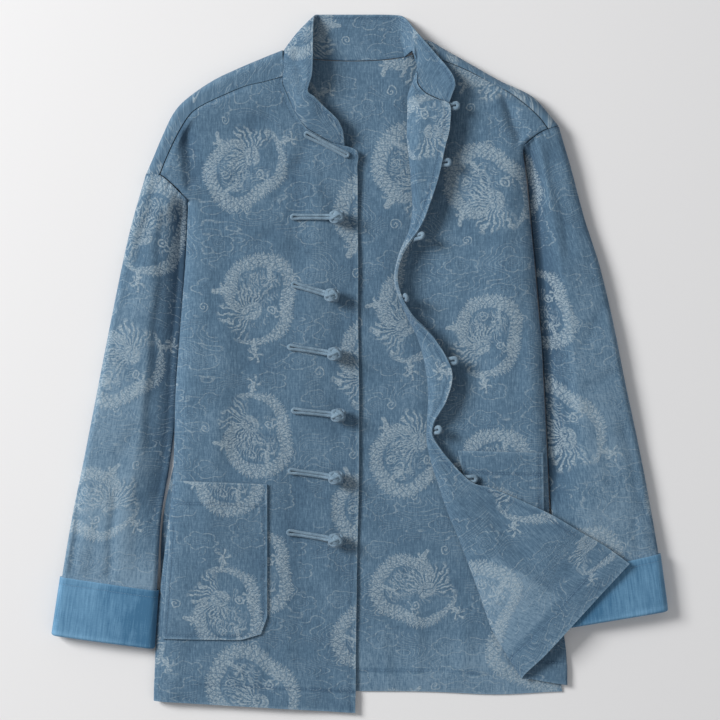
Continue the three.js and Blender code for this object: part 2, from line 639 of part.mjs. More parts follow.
// Patch pockets. Corners in order: outer top, inner top, inner bottom, outer bottom.
const POCKETS = [
  {
    name: 'pocket_right', surface: rightFront, reach: [0.22, 1],
    corners: [[-191, -122], [-97, -126], [-97, -289], [-202, -287]],
  },
  {
    name: 'pocket_left', surface: leftFront, reach: [0.13, 0.5],
    corners: [[190, -93], [102, -91], [134, -222], [193, -222]],
  },
];
for (const { name, surface, reach, corners } of POCKETS) {
  const [outerTop, innerTop, innerEnd, outerEnd] = corners;
  const grid = steps(8).map((b) => POCKET_COLUMNS.map((a) => {
    const low = clamp((b - CORNER_ROW) / (1 - CORNER_ROW));
    const cut = CORNER_CUT * POCKET_CORNER * low * clamp((a - CORNER_COLUMN) / (1 - CORNER_COLUMN));
    const x = mix(mix(outerTop[0], innerTop[0], a), mix(outerEnd[0], innerEnd[0], a), b);
    const y = mix(mix(outerTop[1], innerTop[1], a), mix(outerEnd[1], innerEnd[1], a), b);
    const inward = Math.sign(outerTop[0] - innerTop[0]);
    const place = placeOn(surface, x + inward * cut, y + cut, reach);
    return outFrom(surface, place, POCKET_OUT);
  }));
  add(name, wall(grid, POCKET_WALL), CLOTH);
}

// Frogs: a strap of doubled cord that ends in a knot button. Each row is a station from the
// strap's far end to the knot: the distance from the knot's centre, half the width, half the
// height and how high the centre lies above the cloth.
const FROG = rows(['back', 'wide', 'high', 'lift'], [
  [1, 1.4, 0.9, 1.7],
  [0.96, 3.3, 1.6, 2.1],
  [0.5, 3.3, 1.6, 2.1],
  [0.24, 3.2, 1.8, 2.6],
  [0.175, 3, 2.6, 5.2],
]);
const STRAP_END = [
  { back: 0.04, wide: 3.3, high: 1.6, lift: 2.1 }, { back: 0, wide: 1.4, high: 0.9, lift: 1.7 },
];
const FROG_REACH = [0.4, 1];  // of the right front's width
const KNOT_RINGS = 6;
const FROG_SIDES = 8;
const FROGS = rows(['x0', 'y0', 'x1', 'y1'], [
  [-57, 240, -12, 217],
  [-71.5, 153, -24, 153],
  [-70.5, 83, -29, 71],
  [-74.5, 17.5, -26, 10],
  [-70.5, -49, -22.5, -54],
  [-74, -112, -25, -119],
  [-75.5, -176, -25, -184],
]);
function frog({ x0, y0, x1, y1 }, knotted) {
  const long = Math.hypot(x1 - x0, y1 - y0);
  const ahead = point((x1 - x0) / long, (y1 - y0) / long, 0);
  const beside = point(-ahead.y, ahead.x, 0);
  const stations = [
    ...(knotted ? FROG : [...FROG.slice(0, 3), ...STRAP_END]).map(
      ({ back: far, wide, high, lift }) => ({ at: far * long, wide, high, lift })),
    ...(knotted ? steps(KNOT_RINGS).slice(1, -1) : []).map((t) => ({
      at: KNOT * Math.cos(Math.PI * t),
      wide: KNOT * Math.sin(Math.PI * t),
      high: KNOT * Math.sin(Math.PI * t),
      lift: KNOT + SEAM,
    })),
  ];
  return lofted(stations.map(({ at, wide, high, lift }) => {
    const x = x1 - ahead.x * at;
    const y = y1 - ahead.y * at;
    const cloth = outFrom(rightFront, placeOn(rightFront, x, y, FROG_REACH), FROG_OUT);
    const centre = point(x, y, cloth.z + lift);
    return Array.from({ length: FROG_SIDES }, (_, i) => {
      const angle = 2 * Math.PI * (i + 0.5) / FROG_SIDES;
      return centre.clone().addScaledVector(beside, wide * Math.cos(angle))
        .add(point(0, 0, high * Math.sin(angle)));
    });
  }));
}
// The knot of the top frog hangs out of sight behind the edge, so only its strap is here.
FROGS.forEach((row, i) => add(`frog_button_${i}`, frog(row, i > 0), CORD_CLOTH));

// Loops of the left front: a bent cord on the outer face that reaches past the free edge.
// at: its row of the left front. clear: more space where the edge bends beside it.
const LOOPS = rows(['at', 'clear'], [
  [4.1, 0.4], [7.6, 0.4], [10.3, 0.4], [12.55, 0.7], [14.7, 0.4], [17.35, 0.85], [19, 0.4],
]);
const LOOP_STEPS = 10;
const LOOP_SIDES = 6;
function loop({ at, clear }) {
  const v = at / (LEFT_FRONT.length - 1);
  const edge = leftFront(1, v);
  const inside = leftFront(0.985, v);
  const ahead = edge.clone().sub(inside).normalize();
  const along = leftFront(1, v + 0.004).sub(leftFront(1, v - 0.004));
  const side = ahead.clone().cross(along).normalize();
  const beside = side.clone().cross(ahead).normalize();
  const spot = (forward, sideways) => edge.clone().addScaledVector(ahead, forward)
    .addScaledVector(beside, sideways).addScaledVector(side, LOOP_OUT + clear);
  const half = LOOP_WIDTH / 2;
  const path = new THREE.CatmullRomCurve3([
    spot(-LOOP_HELD, -half), spot(0, -half), spot(LOOP_REACH - LOOP_BEND, -half * LOOP_TAPER),
    spot(LOOP_REACH - CORD, 0),
    spot(LOOP_REACH - LOOP_BEND, half * LOOP_TAPER), spot(0, half), spot(-LOOP_HELD, half),
  ], false, 'centripetal');
  return lofted(steps(LOOP_STEPS).map((t) => {
    const centre = path.getPoint(t);
    const tangent = path.getTangent(t);
    const across = tangent.clone().cross(side).normalize();
    return Array.from({ length: LOOP_SIDES }, (_, i) => {
      const angle = 2 * Math.PI * i / LOOP_SIDES;
      return centre.clone().addScaledVector(across, CORD * Math.cos(angle))
        .addScaledVector(side, CORD * Math.sin(angle));
    });
  }));
}
LOOPS.forEach((row, i) => add(`frog_loop_${i}`, loop(row), CORD_CLOTH));

export default jacket;
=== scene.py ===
import math

import bpy
import numpy as np
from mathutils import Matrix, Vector
from mathutils.kdtree import KDTree


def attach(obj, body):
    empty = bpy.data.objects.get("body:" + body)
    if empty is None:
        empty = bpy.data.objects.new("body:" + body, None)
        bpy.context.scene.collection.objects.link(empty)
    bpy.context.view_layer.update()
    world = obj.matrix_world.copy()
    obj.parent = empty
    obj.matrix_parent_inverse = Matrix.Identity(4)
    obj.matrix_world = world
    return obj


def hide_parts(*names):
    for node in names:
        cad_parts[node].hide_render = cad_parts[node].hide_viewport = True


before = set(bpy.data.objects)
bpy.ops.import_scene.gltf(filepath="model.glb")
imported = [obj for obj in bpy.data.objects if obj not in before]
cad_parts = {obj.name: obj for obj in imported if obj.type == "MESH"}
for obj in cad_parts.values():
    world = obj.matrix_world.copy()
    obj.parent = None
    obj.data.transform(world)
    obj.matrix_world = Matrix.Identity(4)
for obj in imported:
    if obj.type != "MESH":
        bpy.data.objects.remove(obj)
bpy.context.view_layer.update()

# The surface, the light and the camera
# The jacket lies on a plain pale surface. One large soft lamp stands at the upper left, and a
# weaker one fills from the lower right. The camera looks straight down.
MM = 0.001
PIXEL = 1.05 * MM               # of the view, on the surface
PIXELS = 720                    # across the square view
VIEW_CENTRE_Y = 3.5 * PIXEL
CAMERA_HEIGHT = 2.1
SENSOR = 36.0


def new_material(name):
    """A material with its node tree and its Principled shader."""
    made = bpy.data.materials.new(name)
    made.use_nodes = True
    return made, made.node_tree, made.node_tree.nodes["Principled BSDF"]


bpy.ops.object.select_all(action="DESELECT")
bpy.ops.mesh.primitive_plane_add(size=8, location=(0, 0, -0.4 * MM))
surface = bpy.context.object
surface.name = "surface"
plaster, plaster_tree, plaster_shader = new_material("pale surface")
plaster_noise = plaster_tree.nodes.new("ShaderNodeTexNoise")
plaster_noise.inputs["Scale"].default_value = 0.9
plaster_tone = plaster_tree.nodes.new("ShaderNodeValToRGB")
plaster_tone.color_ramp.elements[0].color = (0.775, 0.775, 0.780, 1)
plaster_tone.color_ramp.elements[1].color = (0.824, 0.824, 0.828, 1)
plaster_tree.links.new(plaster_noise.outputs["Fac"], plaster_tone.inputs["Fac"])
plaster_tree.links.new(plaster_tone.outputs["Color"], plaster_shader.inputs["Base Color"])
plaster_shader.inputs["Roughness"].default_value = 0.8
surface.data.materials.append(plaster)


def add_lamp(name, place, size, power, colour):
    """A soft square lamp that points at the middle of the jacket."""
    bpy.ops.object.light_add(type="AREA", location=place)
    lamp = bpy.context.object
    lamp.name = name
    lamp.data.size = size
    lamp.data.energy = power
    lamp.data.color = colour
    lamp.rotation_euler = (-Vector(place)).to_track_quat("-Z", "Y").to_euler()


add_lamp("window", (-3.1, 1.45, 2.35), 1.5, 190, (1.0, 0.99, 0.98))
add_lamp("fill", (1.5, -1.2, 2.2), 2.2, 8, (0.97, 0.98, 1.0))
room = bpy.data.worlds.new("room")
bpy.context.scene.world = room
room.use_nodes = True
room.node_tree.nodes["Background"].inputs["Color"].default_value = (0.965, 0.975, 1.0, 1)
room.node_tree.nodes["Background"].inputs["Strength"].default_value = 0.295
bpy.context.scene.view_settings.view_transform = "Standard"

bpy.ops.object.camera_add(location=(0, VIEW_CENTRE_Y, CAMERA_HEIGHT))
camera = bpy.context.object
camera.data.sensor_width = SENSOR
camera.data.lens = SENSOR * CAMERA_HEIGHT / (PIXELS * PIXEL)
camera.data.clip_end = 30
bpy.context.scene.camera = camera

# The right front
# The wearer's right front, at the left of the view: one flat panel of cotton jacquard from the
# shoulder seam to the hem. Its leading edge and hem are turned in and topstitched, its shoulder,
# armhole and side are sewn to the back and the sleeve.

# The jacquard: a heathered blue ground with a paler woven figure of coiled dragons in a half-drop
# repeat, and thin scroll clouds between them. Sizes are in mm on the flat cloth.
GROUND_DARK = (0.048, 0.100, 0.165)
GROUND = (0.093, 0.172, 0.256)
GROUND_LIGHT = (0.190, 0.292, 0.390)
FIGURE = (0.375, 0.465, 0.520)
FIGURE_STRENGTH = 0.78
CLOUD_STRENGTH = 0.47
REPEAT_X = 130.0
REPEAT_Y = 141.0
COIL = 40.0                     # radius of a dragon's coil
CLOUD = 42.0                    # between neighbouring scroll clouds
LEGS = [                        # foot x, y and knee x, y, from the middle of a dragon
    (-16.0, 25.0, -28.0, 29.0),
    (25.0, 9.0, 35.0, 22.0),
    (19.0, -24.0, 32.0, -19.0),
    (-25.0, -47.0, -21.0, -35.0),
]
PER_METRE = 1000.0              # mm
CURLS = [(13.0, 20.0, 5.5), (-2.0, 27.0, 4.0), (49.0, -4.0, 4.5), (-44.0, 21.0, 5.0)]


class Woven:
    """A number worked out over the cloth: plain sums on it make the material's Math nodes."""

    def __init__(self, tree, socket):
        self.tree = tree
        self.socket = socket

    def math(self, operation, *others):
        node = self.tree.nodes.new("ShaderNodeMath")
        node.operation = operation
        for place, value in zip(node.inputs, (self, *others)):
            if isinstance(value, Woven):
                self.tree.links.new(value.socket, place)
            else:
                place.default_value = value
        return Woven(self.tree, node.outputs[0])

    def __add__(self, other):
        return self.math("ADD", other)

    def __sub__(self, other):
        return self.math("SUBTRACT", other)

    def __mul__(self, other):
        return self.math("MULTIPLY", other)

    def __truediv__(self, other):
        return self.math("DIVIDE", other)

    def sine(self):
        return self.math("SINE")

    def size(self):
        return self.math("ABSOLUTE")

    def over(self, other):
        return self.math("MAXIMUM", other)

    def fade(self, start, end):
        """0 at start to 1 at end, smoothly, and flat beyond them."""
        node = self.tree.nodes.new("ShaderNodeMapRange")
        node.interpolation_type = "SMOOTHSTEP"
        node.inputs["From Min"].default_value = min(start, end)
        node.inputs["From Max"].default_value = max(start, end)
        node.inputs["To Min"].default_value = 0.0 if start < end else 1.0
        node.inputs["To Max"].default_value = 1.0 if start < end else 0.0
        self.tree.links.new(self.socket, node.inputs["Value"])
        return Woven(self.tree, node.outputs["Result"])


def distance_of(x, y):
    return (x * x + y * y).math("SQRT")


def joined(x, y):
    """The two numbers as one vector."""
    node = x.tree.nodes.new("ShaderNodeCombineXYZ")
    x.tree.links.new(x.socket, node.inputs[0])
    x.tree.links.new(y.socket, node.inputs[1])
    return node.outputs[0]


def split(tree, vector):
    node = tree.nodes.new("ShaderNodeSeparateXYZ")
    tree.links.new(vector, node.inputs[0])
    return [Woven(tree, socket) for socket in node.outputs]


def noise(x, y, size, detail=2.0, roughness=0.5):
    """Soft noise whose features are about size mm wide: its value and its colour."""
    node = x.tree.nodes.new("ShaderNodeTexNoise")
    node.inputs["Scale"].default_value = 1 / size
    node.inputs["Detail"].default_value = detail
    node.inputs["Roughness"].default_value = roughness
    x.tree.links.new(joined(x, y), node.inputs["Vector"])
    return Woven(x.tree, node.outputs["Fac"]), node.outputs["Color"]


def cloth_places(tree):
    """Places on the flat cloth in mm, from the map that each piece of cloth carries."""
    cloth = tree.nodes.new("ShaderNodeUVMap")
    cloth.uv_map = "cloth"
    x, y, _ = split(tree, cloth.outputs["UV"])
    return x * PER_METRE, y * PER_METRE


def painted_light_on_points(tree):
    """How much paler or (below 0) darker the colour is painted on the pieces' points: painted light
    and shade, and one paler patch.
    """
    painted_light_shade_and_tone = tree.nodes.new("ShaderNodeAttribute")
    painted_light_shade_and_tone.attribute_name = "painted_light_shade_and_tone"
    return Woven(tree, painted_light_shade_and_tone.outputs["Fac"])


def dyed(shader, amount, *stops):
    """The colour for an amount of dye, between stops that each hold a place and a colour."""
    node = amount.tree.nodes.new("ShaderNodeValToRGB")
    ramp = node.color_ramp
    for element, (place, colour) in zip(ramp.elements, (stops[0], stops[-1])):
        element.position = place
        element.color = (*colour, 1)
    for place, colour in stops[1:-1]:
        ramp.elements.new(place).color = (*colour, 1)
    amount.tree.links.new(amount.socket, node.inputs["Fac"])
    amount.tree.links.new(node.outputs["Color"], shader.inputs["Base Color"])
    return node.outputs["Color"]


def raise_threads(shader, relief, height, strength):
    """The threads' relief, whose tallest parts stand height mm over the cloth."""
    bump = relief.tree.nodes.new("ShaderNodeBump")
    bump.inputs["Distance"].default_value = height * MM
    bump.inputs["Strength"].default_value = strength
    relief.tree.links.new(relief.socket, bump.inputs["Height"])
    relief.tree.links.new(bump.outputs["Normal"], shader.inputs["Normal"])


def matt_finish(shader, roughness, gloss, sheen, spread=0.5, tint=(0.75, 0.85, 1.0)):
    """Cotton's dull shine, with a pale sheen where it turns away."""
    roughness.tree.links.new(roughness.socket, shader.inputs["Roughness"])
    shader.inputs["Specular IOR Level"].default_value = gloss
    shader.inputs["Sheen Weight"].default_value = sheen
    shader.inputs["Sheen Roughness"].default_value = spread
    shader.inputs["Sheen Tint"].default_value = (*tint, 1)


def stroke(x, y, x0, y0, x1, y1, half_width):
    """1 on the straight stroke between two points, 0 beside it."""
    long = math.hypot(x1 - x0, y1 - y0)
    ahead_x = (x1 - x0) / long
    ahead_y = (y1 - y0) / long
    from_x = x - x0
    from_y = y - y0
    along = (from_x * ahead_x + from_y * ahead_y).math("MAXIMUM", 0.0).math("MINIMUM", long)
    beside = distance_of(from_x - along * ahead_x, from_y - along * ahead_y)
    return beside.fade(half_width + 0.5, half_width - 0.5)


def dragon(x, y, stray):
    """The coiled dragon round x = y = 0: 1 on its threads, 0 beside them."""
    radius = distance_of(x, y)
    turn = y.math("ARCTAN2", x)
    share = turn / math.tau + 0.5
    neck = share.fade(0.72, 1.0)
    middle = (turn * 3.0).sine() * 2.8 + (turn * 5.0 + 1.0).sine() * 1.3 + COIL
    middle = middle + (turn * 2.0 + 0.8).sine() * 3.4
    middle = middle - share * 3.0 - neck * 24.0
    width = share.fade(0.0, 0.45) * 5.6 + 1.3 - neck * 1.2
    across = (radius - middle) / width
    coil = across.size().fade(1.08, 0.86)
    # Scales on the back, plates on the belly, and a thin plain line between them
    one_way = (turn * 21.0 + across * 2.6).sine().size()
    other_way = (turn * 21.0 - across * 2.6).sine().size()
    scales = one_way.math("MINIMUM", other_way).fade(0.10, 0.42)
    plates = (turn * 52.0 + across * 3.0).sine().fade(-0.35, 0.25)
    belly = across.fade(-0.38, -0.46)
    skin = scales * (belly * -1.0 + 1.0) + plates * belly
    coil = coil * (skin * 0.75 + 0.25) * share.fade(0.09, 0.13)
    beyond = radius - middle - width
    fin = (turn * 22.0).math("FRACT") * 3.2
    fins = beyond.fade(-0.6, 0.2) * (beyond - fin).fade(0.5, -0.5) * share.fade(0.17, 0.24)
    fins = fins * share.fade(0.93, 0.86) * (turn * 64.0).sine().fade(-0.9, 0.1)
    # The head, with a mane of curling strands behind it
    head_x = x + 6.0
    head_y = y + 8.0
    head = distance_of(head_x / 1.3, head_y)
    bearing = head_y.math("ARCTAN2", head_x)
    strands = (bearing * 26.0 + head * 0.24 + stray * 14.0).sine().fade(-0.2, 0.4)
    reach = (bearing * 5.0 + 1.0).sine() * 4.0 + 26.0
    mane = strands * head.fade(6.5, 9.0) * (head - reach).fade(1.0, -4.0)
    mane = mane * (bearing - 2.1).math("COSINE").fade(-0.55, 0.05)
    eye = distance_of(head_x - 2.8, head_y - 2.4).fade(0.8, 1.7)
    jaw = (head_y * 1.2 + (head_x * 0.8).sine()).size().fade(0.5, 1.1)
    brow = (head * 1.5 + bearing * 4.0).sine().fade(-0.6, 0.2)
    face = head.fade(8.8, 7.6) * eye * (jaw * 0.9 + 0.1) * (brow * 0.4 + 0.6)
    # Short curved hatching fills a part of the coil
    hatch = (x * 1.9 - y * 0.6 + stray * 22.0).sine().fade(0.0, 0.7)
    hatch = hatch * (radius - middle).fade(-8.0, -11.0) * (stray * 2.0 - 1.0 + share).fade(0.25, 0.6)
    found = coil.over(fins).over(mane).over(face).over(hatch * 0.75)
    # Legs with spread claws, curls of flame, and a pearl before the mouth
    for foot_x, foot_y, knee_x, knee_y in LEGS:
        found = found.over(stroke(x, y, knee_x, knee_y, foot_x, foot_y, 2.2))
        claw_x = x - foot_x
        claw_y = y - foot_y
        claw = distance_of(claw_x, claw_y)
        toes = (claw_y.math("ARCTAN2", claw_x) * 5.0 + claw * 0.4).math("COSINE")
        found = found.over(toes.fade(0.25, 0.75) * claw.fade(9.0, 7.0))
    for curl_x, curl_y, size in CURLS:
        from_x = x - curl_x
        from_y = y - curl_y
        curl = distance_of(from_x, from_y)
        spiral = (from_y.math("ARCTAN2", from_x) + curl * (math.tau / 3.4)).sine()
        found = found.over(spiral.fade(0.2, 0.7) * curl.fade(size + 1.0, size - 0.5))
    pearl = distance_of(x - 12.0, y + 17.0)
    return found.over((pearl - 3.6).size().fade(1.1, 0.5)).over(pearl.fade(1.7, 1.0))


def jacquard(name, ground, figure):
    """The jacquard as a material; ground and figure are the strength of its two colours."""
    made, tree, shader = new_material(name)
    x, y = cloth_places(tree)

    # Each repeat's own place, turn and side, with outlines that wander a little
    _, wander = noise(x, y, 13.0, 1.5)
    wander_x, wander_y, _ = split(tree, wander)
    place_x = x + (wander_x - 0.5) * 7.0
    place_y = y + (wander_y - 0.5) * 7.0
    column = (place_x / REPEAT_X).math("FLOOR")
    dropped = place_y + column.math("MODULO", 2.0).size() * (REPEAT_Y / 2)
    row = (dropped / REPEAT_Y).math("FLOOR")
    dice = tree.nodes.new("ShaderNodeTexWhiteNoise")
    dice.noise_dimensions = "2D"
    tree.links.new(joined(column, row), dice.inputs["Vector"])
    shift_x, shift_y, chance = split(tree, dice.outputs["Color"])
    grown = (chance * 17.0).math("FRACT") * 0.26 + 0.88
    from_x = (place_x - column * REPEAT_X - REPEAT_X / 2 + (shift_x - 0.5) * 14.0) / grown
    from_y = (dropped - row * REPEAT_Y - REPEAT_Y / 2 + (shift_y - 0.5) * 12.0) / grown
    side_x = from_x * (chance - 0.5).math("SIGN")
    turn = (chance * 6.0).math("FLOOR") * (math.tau / 6) + 0.5
    cosine = turn.math("COSINE")
    sine = turn.sine()
    stray, _ = noise(x, y, 9.0, 1.0)
    figured = dragon(side_x * cosine - from_y * sine, side_x * sine + from_y * cosine, stray)
    floats, _ = noise(x * 0.8, y * 1.3, 1.9, 2.5, 0.75)
    figured = figured * (floats.fade(0.38, 0.58) * 0.86 + 0.14)

    # Scroll clouds: a spiral in a lobed outline, with long thin tails along the cloth's width
    flat_x = x * 0.72 + (wander_y - 0.5) * 9.0
    flat_y = y * 1.35 + (wander_x - 0.5) * 9.0
    cells = tree.nodes.new("ShaderNodeTexVoronoi")
    cells.voronoi_dimensions = "2D"
    cells.inputs["Scale"].default_value = 1 / CLOUD
    cells.inputs["Randomness"].default_value = 0.85
    tree.links.new(joined(flat_x, flat_y), cells.inputs["Vector"])
    cell_x, cell_y, _ = split(tree, cells.outputs["Position"])
    near_x = flat_x - cell_x
    near_y = flat_y - cell_y
    near = distance_of(near_x, near_y)
    bearing = near_y.math("ARCTAN2", near_x)
    spiral = (near * (math.tau / 5.2) + bearing).sine().size().fade(0.34, 0.10)
    lobes = (bearing * 2.5).sine().size() * 3.2 + 9.5
    rim = (near - lobes).size().fade(0.95, 0.35)
    scrolls = (spiral * near.fade(7.6, 6.6)).over(rim)
    hills, _ = noise(x * 0.55 + 400.0, y * 1.25, 34.0, 1.0)
    tails = (hills * 62.0).sine().size().fade(0.36, 0.12) * near.fade(12.0, 14.0)
    patches, _ = noise(x, y, 60.0, 1.0)
    clear = distance_of(from_x, from_y).fade(COIL + 8.0, COIL + 14.0)
    clouds = scrolls.over(tails * patches.fade(0.44, 0.52)) * clear
    clouds = clouds * (floats.fade(0.42, 0.56) * 0.9 + 0.1)

    # The heathered ground: uneven warp and weft threads over slow changes of tone
    warp, _ = noise(x * 0.85, y * 0.10, 1.3, 3.0, 0.75)
    weft, _ = noise(x * 0.16, y * 1.1, 1.4, 2.0, 0.7)
    slubs, _ = noise(x, y * 0.45, 2.2, 3.0, 0.75)
    tone, _ = noise(x, y, 45.0, 3.0)
    heather_and_painted_light = warp * 0.85 + weft * 0.30 + slubs * 0.62 + tone * 0.40 - 0.585
    # The painted light and shade stored on the pieces' points is added to the heather.
    heather_and_painted_light = heather_and_painted_light + painted_light_on_points(tree) * 0.32
    dark, middle, light = (
        [part * ground for part in colour] for colour in (GROUND_DARK, GROUND, GROUND_LIGHT))
    dye = dyed(shader, heather_and_painted_light, (0.22, dark), (0.52, middle), (0.82, light))
    shown = (figured * (FIGURE_STRENGTH * figure)).over(clouds * (CLOUD_STRENGTH * figure))
    blend = tree.nodes.new("ShaderNodeMix")
    blend.data_type = "RGBA"
    tree.links.new(shown.socket, blend.inputs["Factor"])
    tree.links.new(dye, blend.inputs["A"])
    blend.inputs["B"].default_value = (*FIGURE, 1)
    tree.links.new(blend.outputs["Result"], shader.inputs["Base Color"])

    ribs = ((x + y) * (math.tau / 1.1)).sine() * 0.22
    relief = ribs + warp * 0.9 + figured * 0.9 + clouds * 0.6
    raise_threads(shader, relief, 0.22, 0.8)
    matt_finish(shader, figured * -0.16 + 0.9, 0.22, 0.15)
    return made


cloth_face = jacquard("jacquard face", 1.0, 1.0)
cloth_back = jacquard("jacquard inner face", 1.16, 0.95)

thread, thread_tree, thread_shader = new_material("sewing thread")
thread_noise = thread_tree.nodes.new("ShaderNodeTexNoise")
thread_noise.inputs["Scale"].default_value = 900
thread_coords = thread_tree.nodes.new("ShaderNodeTexCoord")
thread_tree.links.new(thread_coords.outputs["Object"], thread_noise.inputs["Vector"])
dyed(thread_shader, Woven(thread_tree, thread_noise.outputs["Fac"]),
     (0.0, (0.105, 0.205, 0.330)), (1.0, (0.210, 0.335, 0.470)))
thread_shader.inputs["Roughness"].default_value = 0.6

# Cloth sizes in mm, and the panel itself
WALL = 1.4
SEAM_GAP = 0.4                  # between panels that are sewn together
BACK_EDGE = 2.85                # height of a front where it is sewn to the back's side
SIDE_ROLL = 10.0                # the fronts curve down to the side seam within this width
ROLL_SHARE = 0.35               # or within this share of their own width, where that is less
FULL_TURN = 4.0                 # drop at the side from which the curve is a full one
HEM = 22.0                      # from a hem to its stitching
TOPSTITCH = 5.5                 # from a leading edge to its stitching
FACING = 32.0                   # from a leading edge to the inner edge of its facing
STITCH = 3.1                    # from one stitch to the next
STITCH_DIP = 1.15               # half the width of the dip along a line of stitching
THREAD = 0.42                   # thickness of the thread


def track(table, columns):
    """Smooth curves through a table's columns, from its first row at 0 to its last at 1."""
    values = np.array(table, float)

    def at(v):
        place = np.clip(np.asarray(v, float), 0, 1) * (len(values) - 1)
        i = np.minimum(place.astype(int), len(values) - 2)
        f = (place - i)[..., None]
        before, here, after, beyond = (
            values[np.clip(i + step, 0, len(values) - 1)] for step in (-1, 0, 1, 2))
        start = (after - before) / 2
        end = (beyond - here) / 2
        rise = after - here
        found = here + f * start + f**2 * (3 * rise - 2 * start - end)
        found = found + f**3 * (start + end - 2 * rise)
        return dict(zip(columns, np.moveaxis(found, -1, 0)))

    return at


def smooth(points, us):
    """The smooth curve through points, at us from 0 to 1, with its knots at the points."""
    p = np.array(points, float)
    spans = len(p) - 1
    p = np.vstack([2 * p[0] - p[1], p, 2 * p[-1] - p[-2]])
    gap = np.maximum(np.linalg.norm(np.diff(p, axis=0), axis=1) ** 0.5, 1e-4)
    place = np.asarray(us) * spans
    i = np.minimum(place.astype(int), spans - 1)
    f = (place - i)[:, None]
    a, b, c, d = (p[i + step] for step in range(4))
    g0, g1, g2 = (gap[i + step][:, None] for step in range(3))
    start = ((b - a) / g0 - (c - a) / (g0 + g1) + (c - b) / g1) * g1
    end = ((c - b) / g1 - (d - b) / (g1 + g2) + (d - c) / g2) * g1
    bend = 3 * (c - b) - 2 * start - end
    return b + start * f + bend * f**2 + (2 * (b - c) + start + end) * f**3


def rise(x, start, end):
    """0 at start to 1 at end, in a straight line."""
    return np.clip((x - start) / (end - start), 0, 1)


def mix(a, b, t):
    return a + (b - a) * t


def pressed(folds, x, y):
    """How deep a table's soft troughs (ridges where below 0) lie at plan positions, in mm."""
    drop = np.zeros_like(x)
    for x0, y0, x1, y1, width, depth in folds:
        long = math.hypot(x1 - x0, y1 - y0)
        along = ((x - x0) * (x1 - x0) + (y - y0) * (y1 - y0)) / long
        across = ((x - x0) * (y1 - y0) - (y - y0) * (x1 - x0)) / long
        # A crease wanders a little and is sharper on one side than on the other.
        across = across + 0.18 * width * np.sin(along / (1.9 * width) + x0)
        across = across * np.where(across > 0, 1.25, 0.85)
        beyond = np.maximum(0, np.maximum(-along, along - long))
        drop += depth * np.exp(-((across / width) ** 2) - (beyond / (1.5 * width)) ** 2)
    return drop


def rumple(x, y):
    """The slight unevenness of cloth that has been laid down by hand, in mm."""
    wave = 0.34 * np.sin(x / 17 + 1.3 * np.sin(y / 31)) * np.sin(y / 43 + 0.6)
    wave += 0.26 * np.sin((x + 0.8 * y) / 14.5 + 2.0 * np.sin(x / 53))
    wave += 0.22 * np.sin((0.7 * x - y) / 21.0 + 1.4 * np.sin(y / 37) + 2.1)
    return wave


SHOULDER_COLUMNS = ("outX", "outY", "seamX", "seamY")   # outline and seam, armhole to neck
right_shoulder = track([
    (-223, 198, -209, 197),
    (-216, 214, -201, 217),
    (-205, 240, -190, 240),
    (-194, 262, -178, 259),
    (-180, 277, -165, 269),
    (-154, 295, -142, 280),
    (-127, 308, -120, 289),
    (-101, 319, -99, 294),
    (-81, 327, -81, 299),
], SHOULDER_COLUMNS)
right_armhole = track([(-223, 198), (-209, 197), (-197, 188), (-186, 177), (-179, 170)], ("x", "y"))
SHOULDER_END = 0.25             # where the shoulder seam meets the armhole seam

FRONT_COLUMNS = ("sideX", "sideY", "leadX", "leadY", "zEdge", "zSide", "zMiddle", "zLead")
RIGHT_FRONT = [
    (-88, 297, -81, 292, 15, 15, 15, 15),
    (-104, 293, -76, 280, 15, 15, 15, 14),
    (-142, 280, -68, 262, 15, 15.5, 15, 13),
    (-172, 265, -57, 247, 15, 16, 14, 12),
    (-192, 238, -46, 240, 15, 16, 13, 11),
    (-202, 216, -30, 231, 15, 16, 12, 9),
    (-208.5, 197, -4, 223, 15, 16, 12, 8),
    (-197, 188, -3, 205, 15, 16, 12, 6),
    (-186, 177, -2.5, 190, 12, 15, 12, 5.5),
    (-179.5, 168, -2.5, 175, 6, 14, 12, 5),
    (-180, 145, -2.5, 150, BACK_EDGE, 14, 12, 5),
    (-182, 104, -2, 105, BACK_EDGE, 15, 12, 5),
    (-187, 40, -2, 45, BACK_EDGE, 16, 12, 4.6),
    (-192, -30, -1, -30, BACK_EDGE, 17, 12, 4.6),
    (-193.5, -85, -1, -90, BACK_EDGE, 16, 12, 4.6),
    (-196, -135, -1.5, -140, BACK_EDGE, 15, 12, 4.6),
    (-204, -200, -3, -205, BACK_EDGE, 14, 11, 4.6),
    (-211, -262, -4, -270, BACK_EDGE, 12, 10, 4.6),
    (-214, -315, -4.5, -325, BACK_EDGE, 10, 9, 4.6),
    (-215, -353, -5, -366, 3, 8.5, 7.8, 4.6),
]
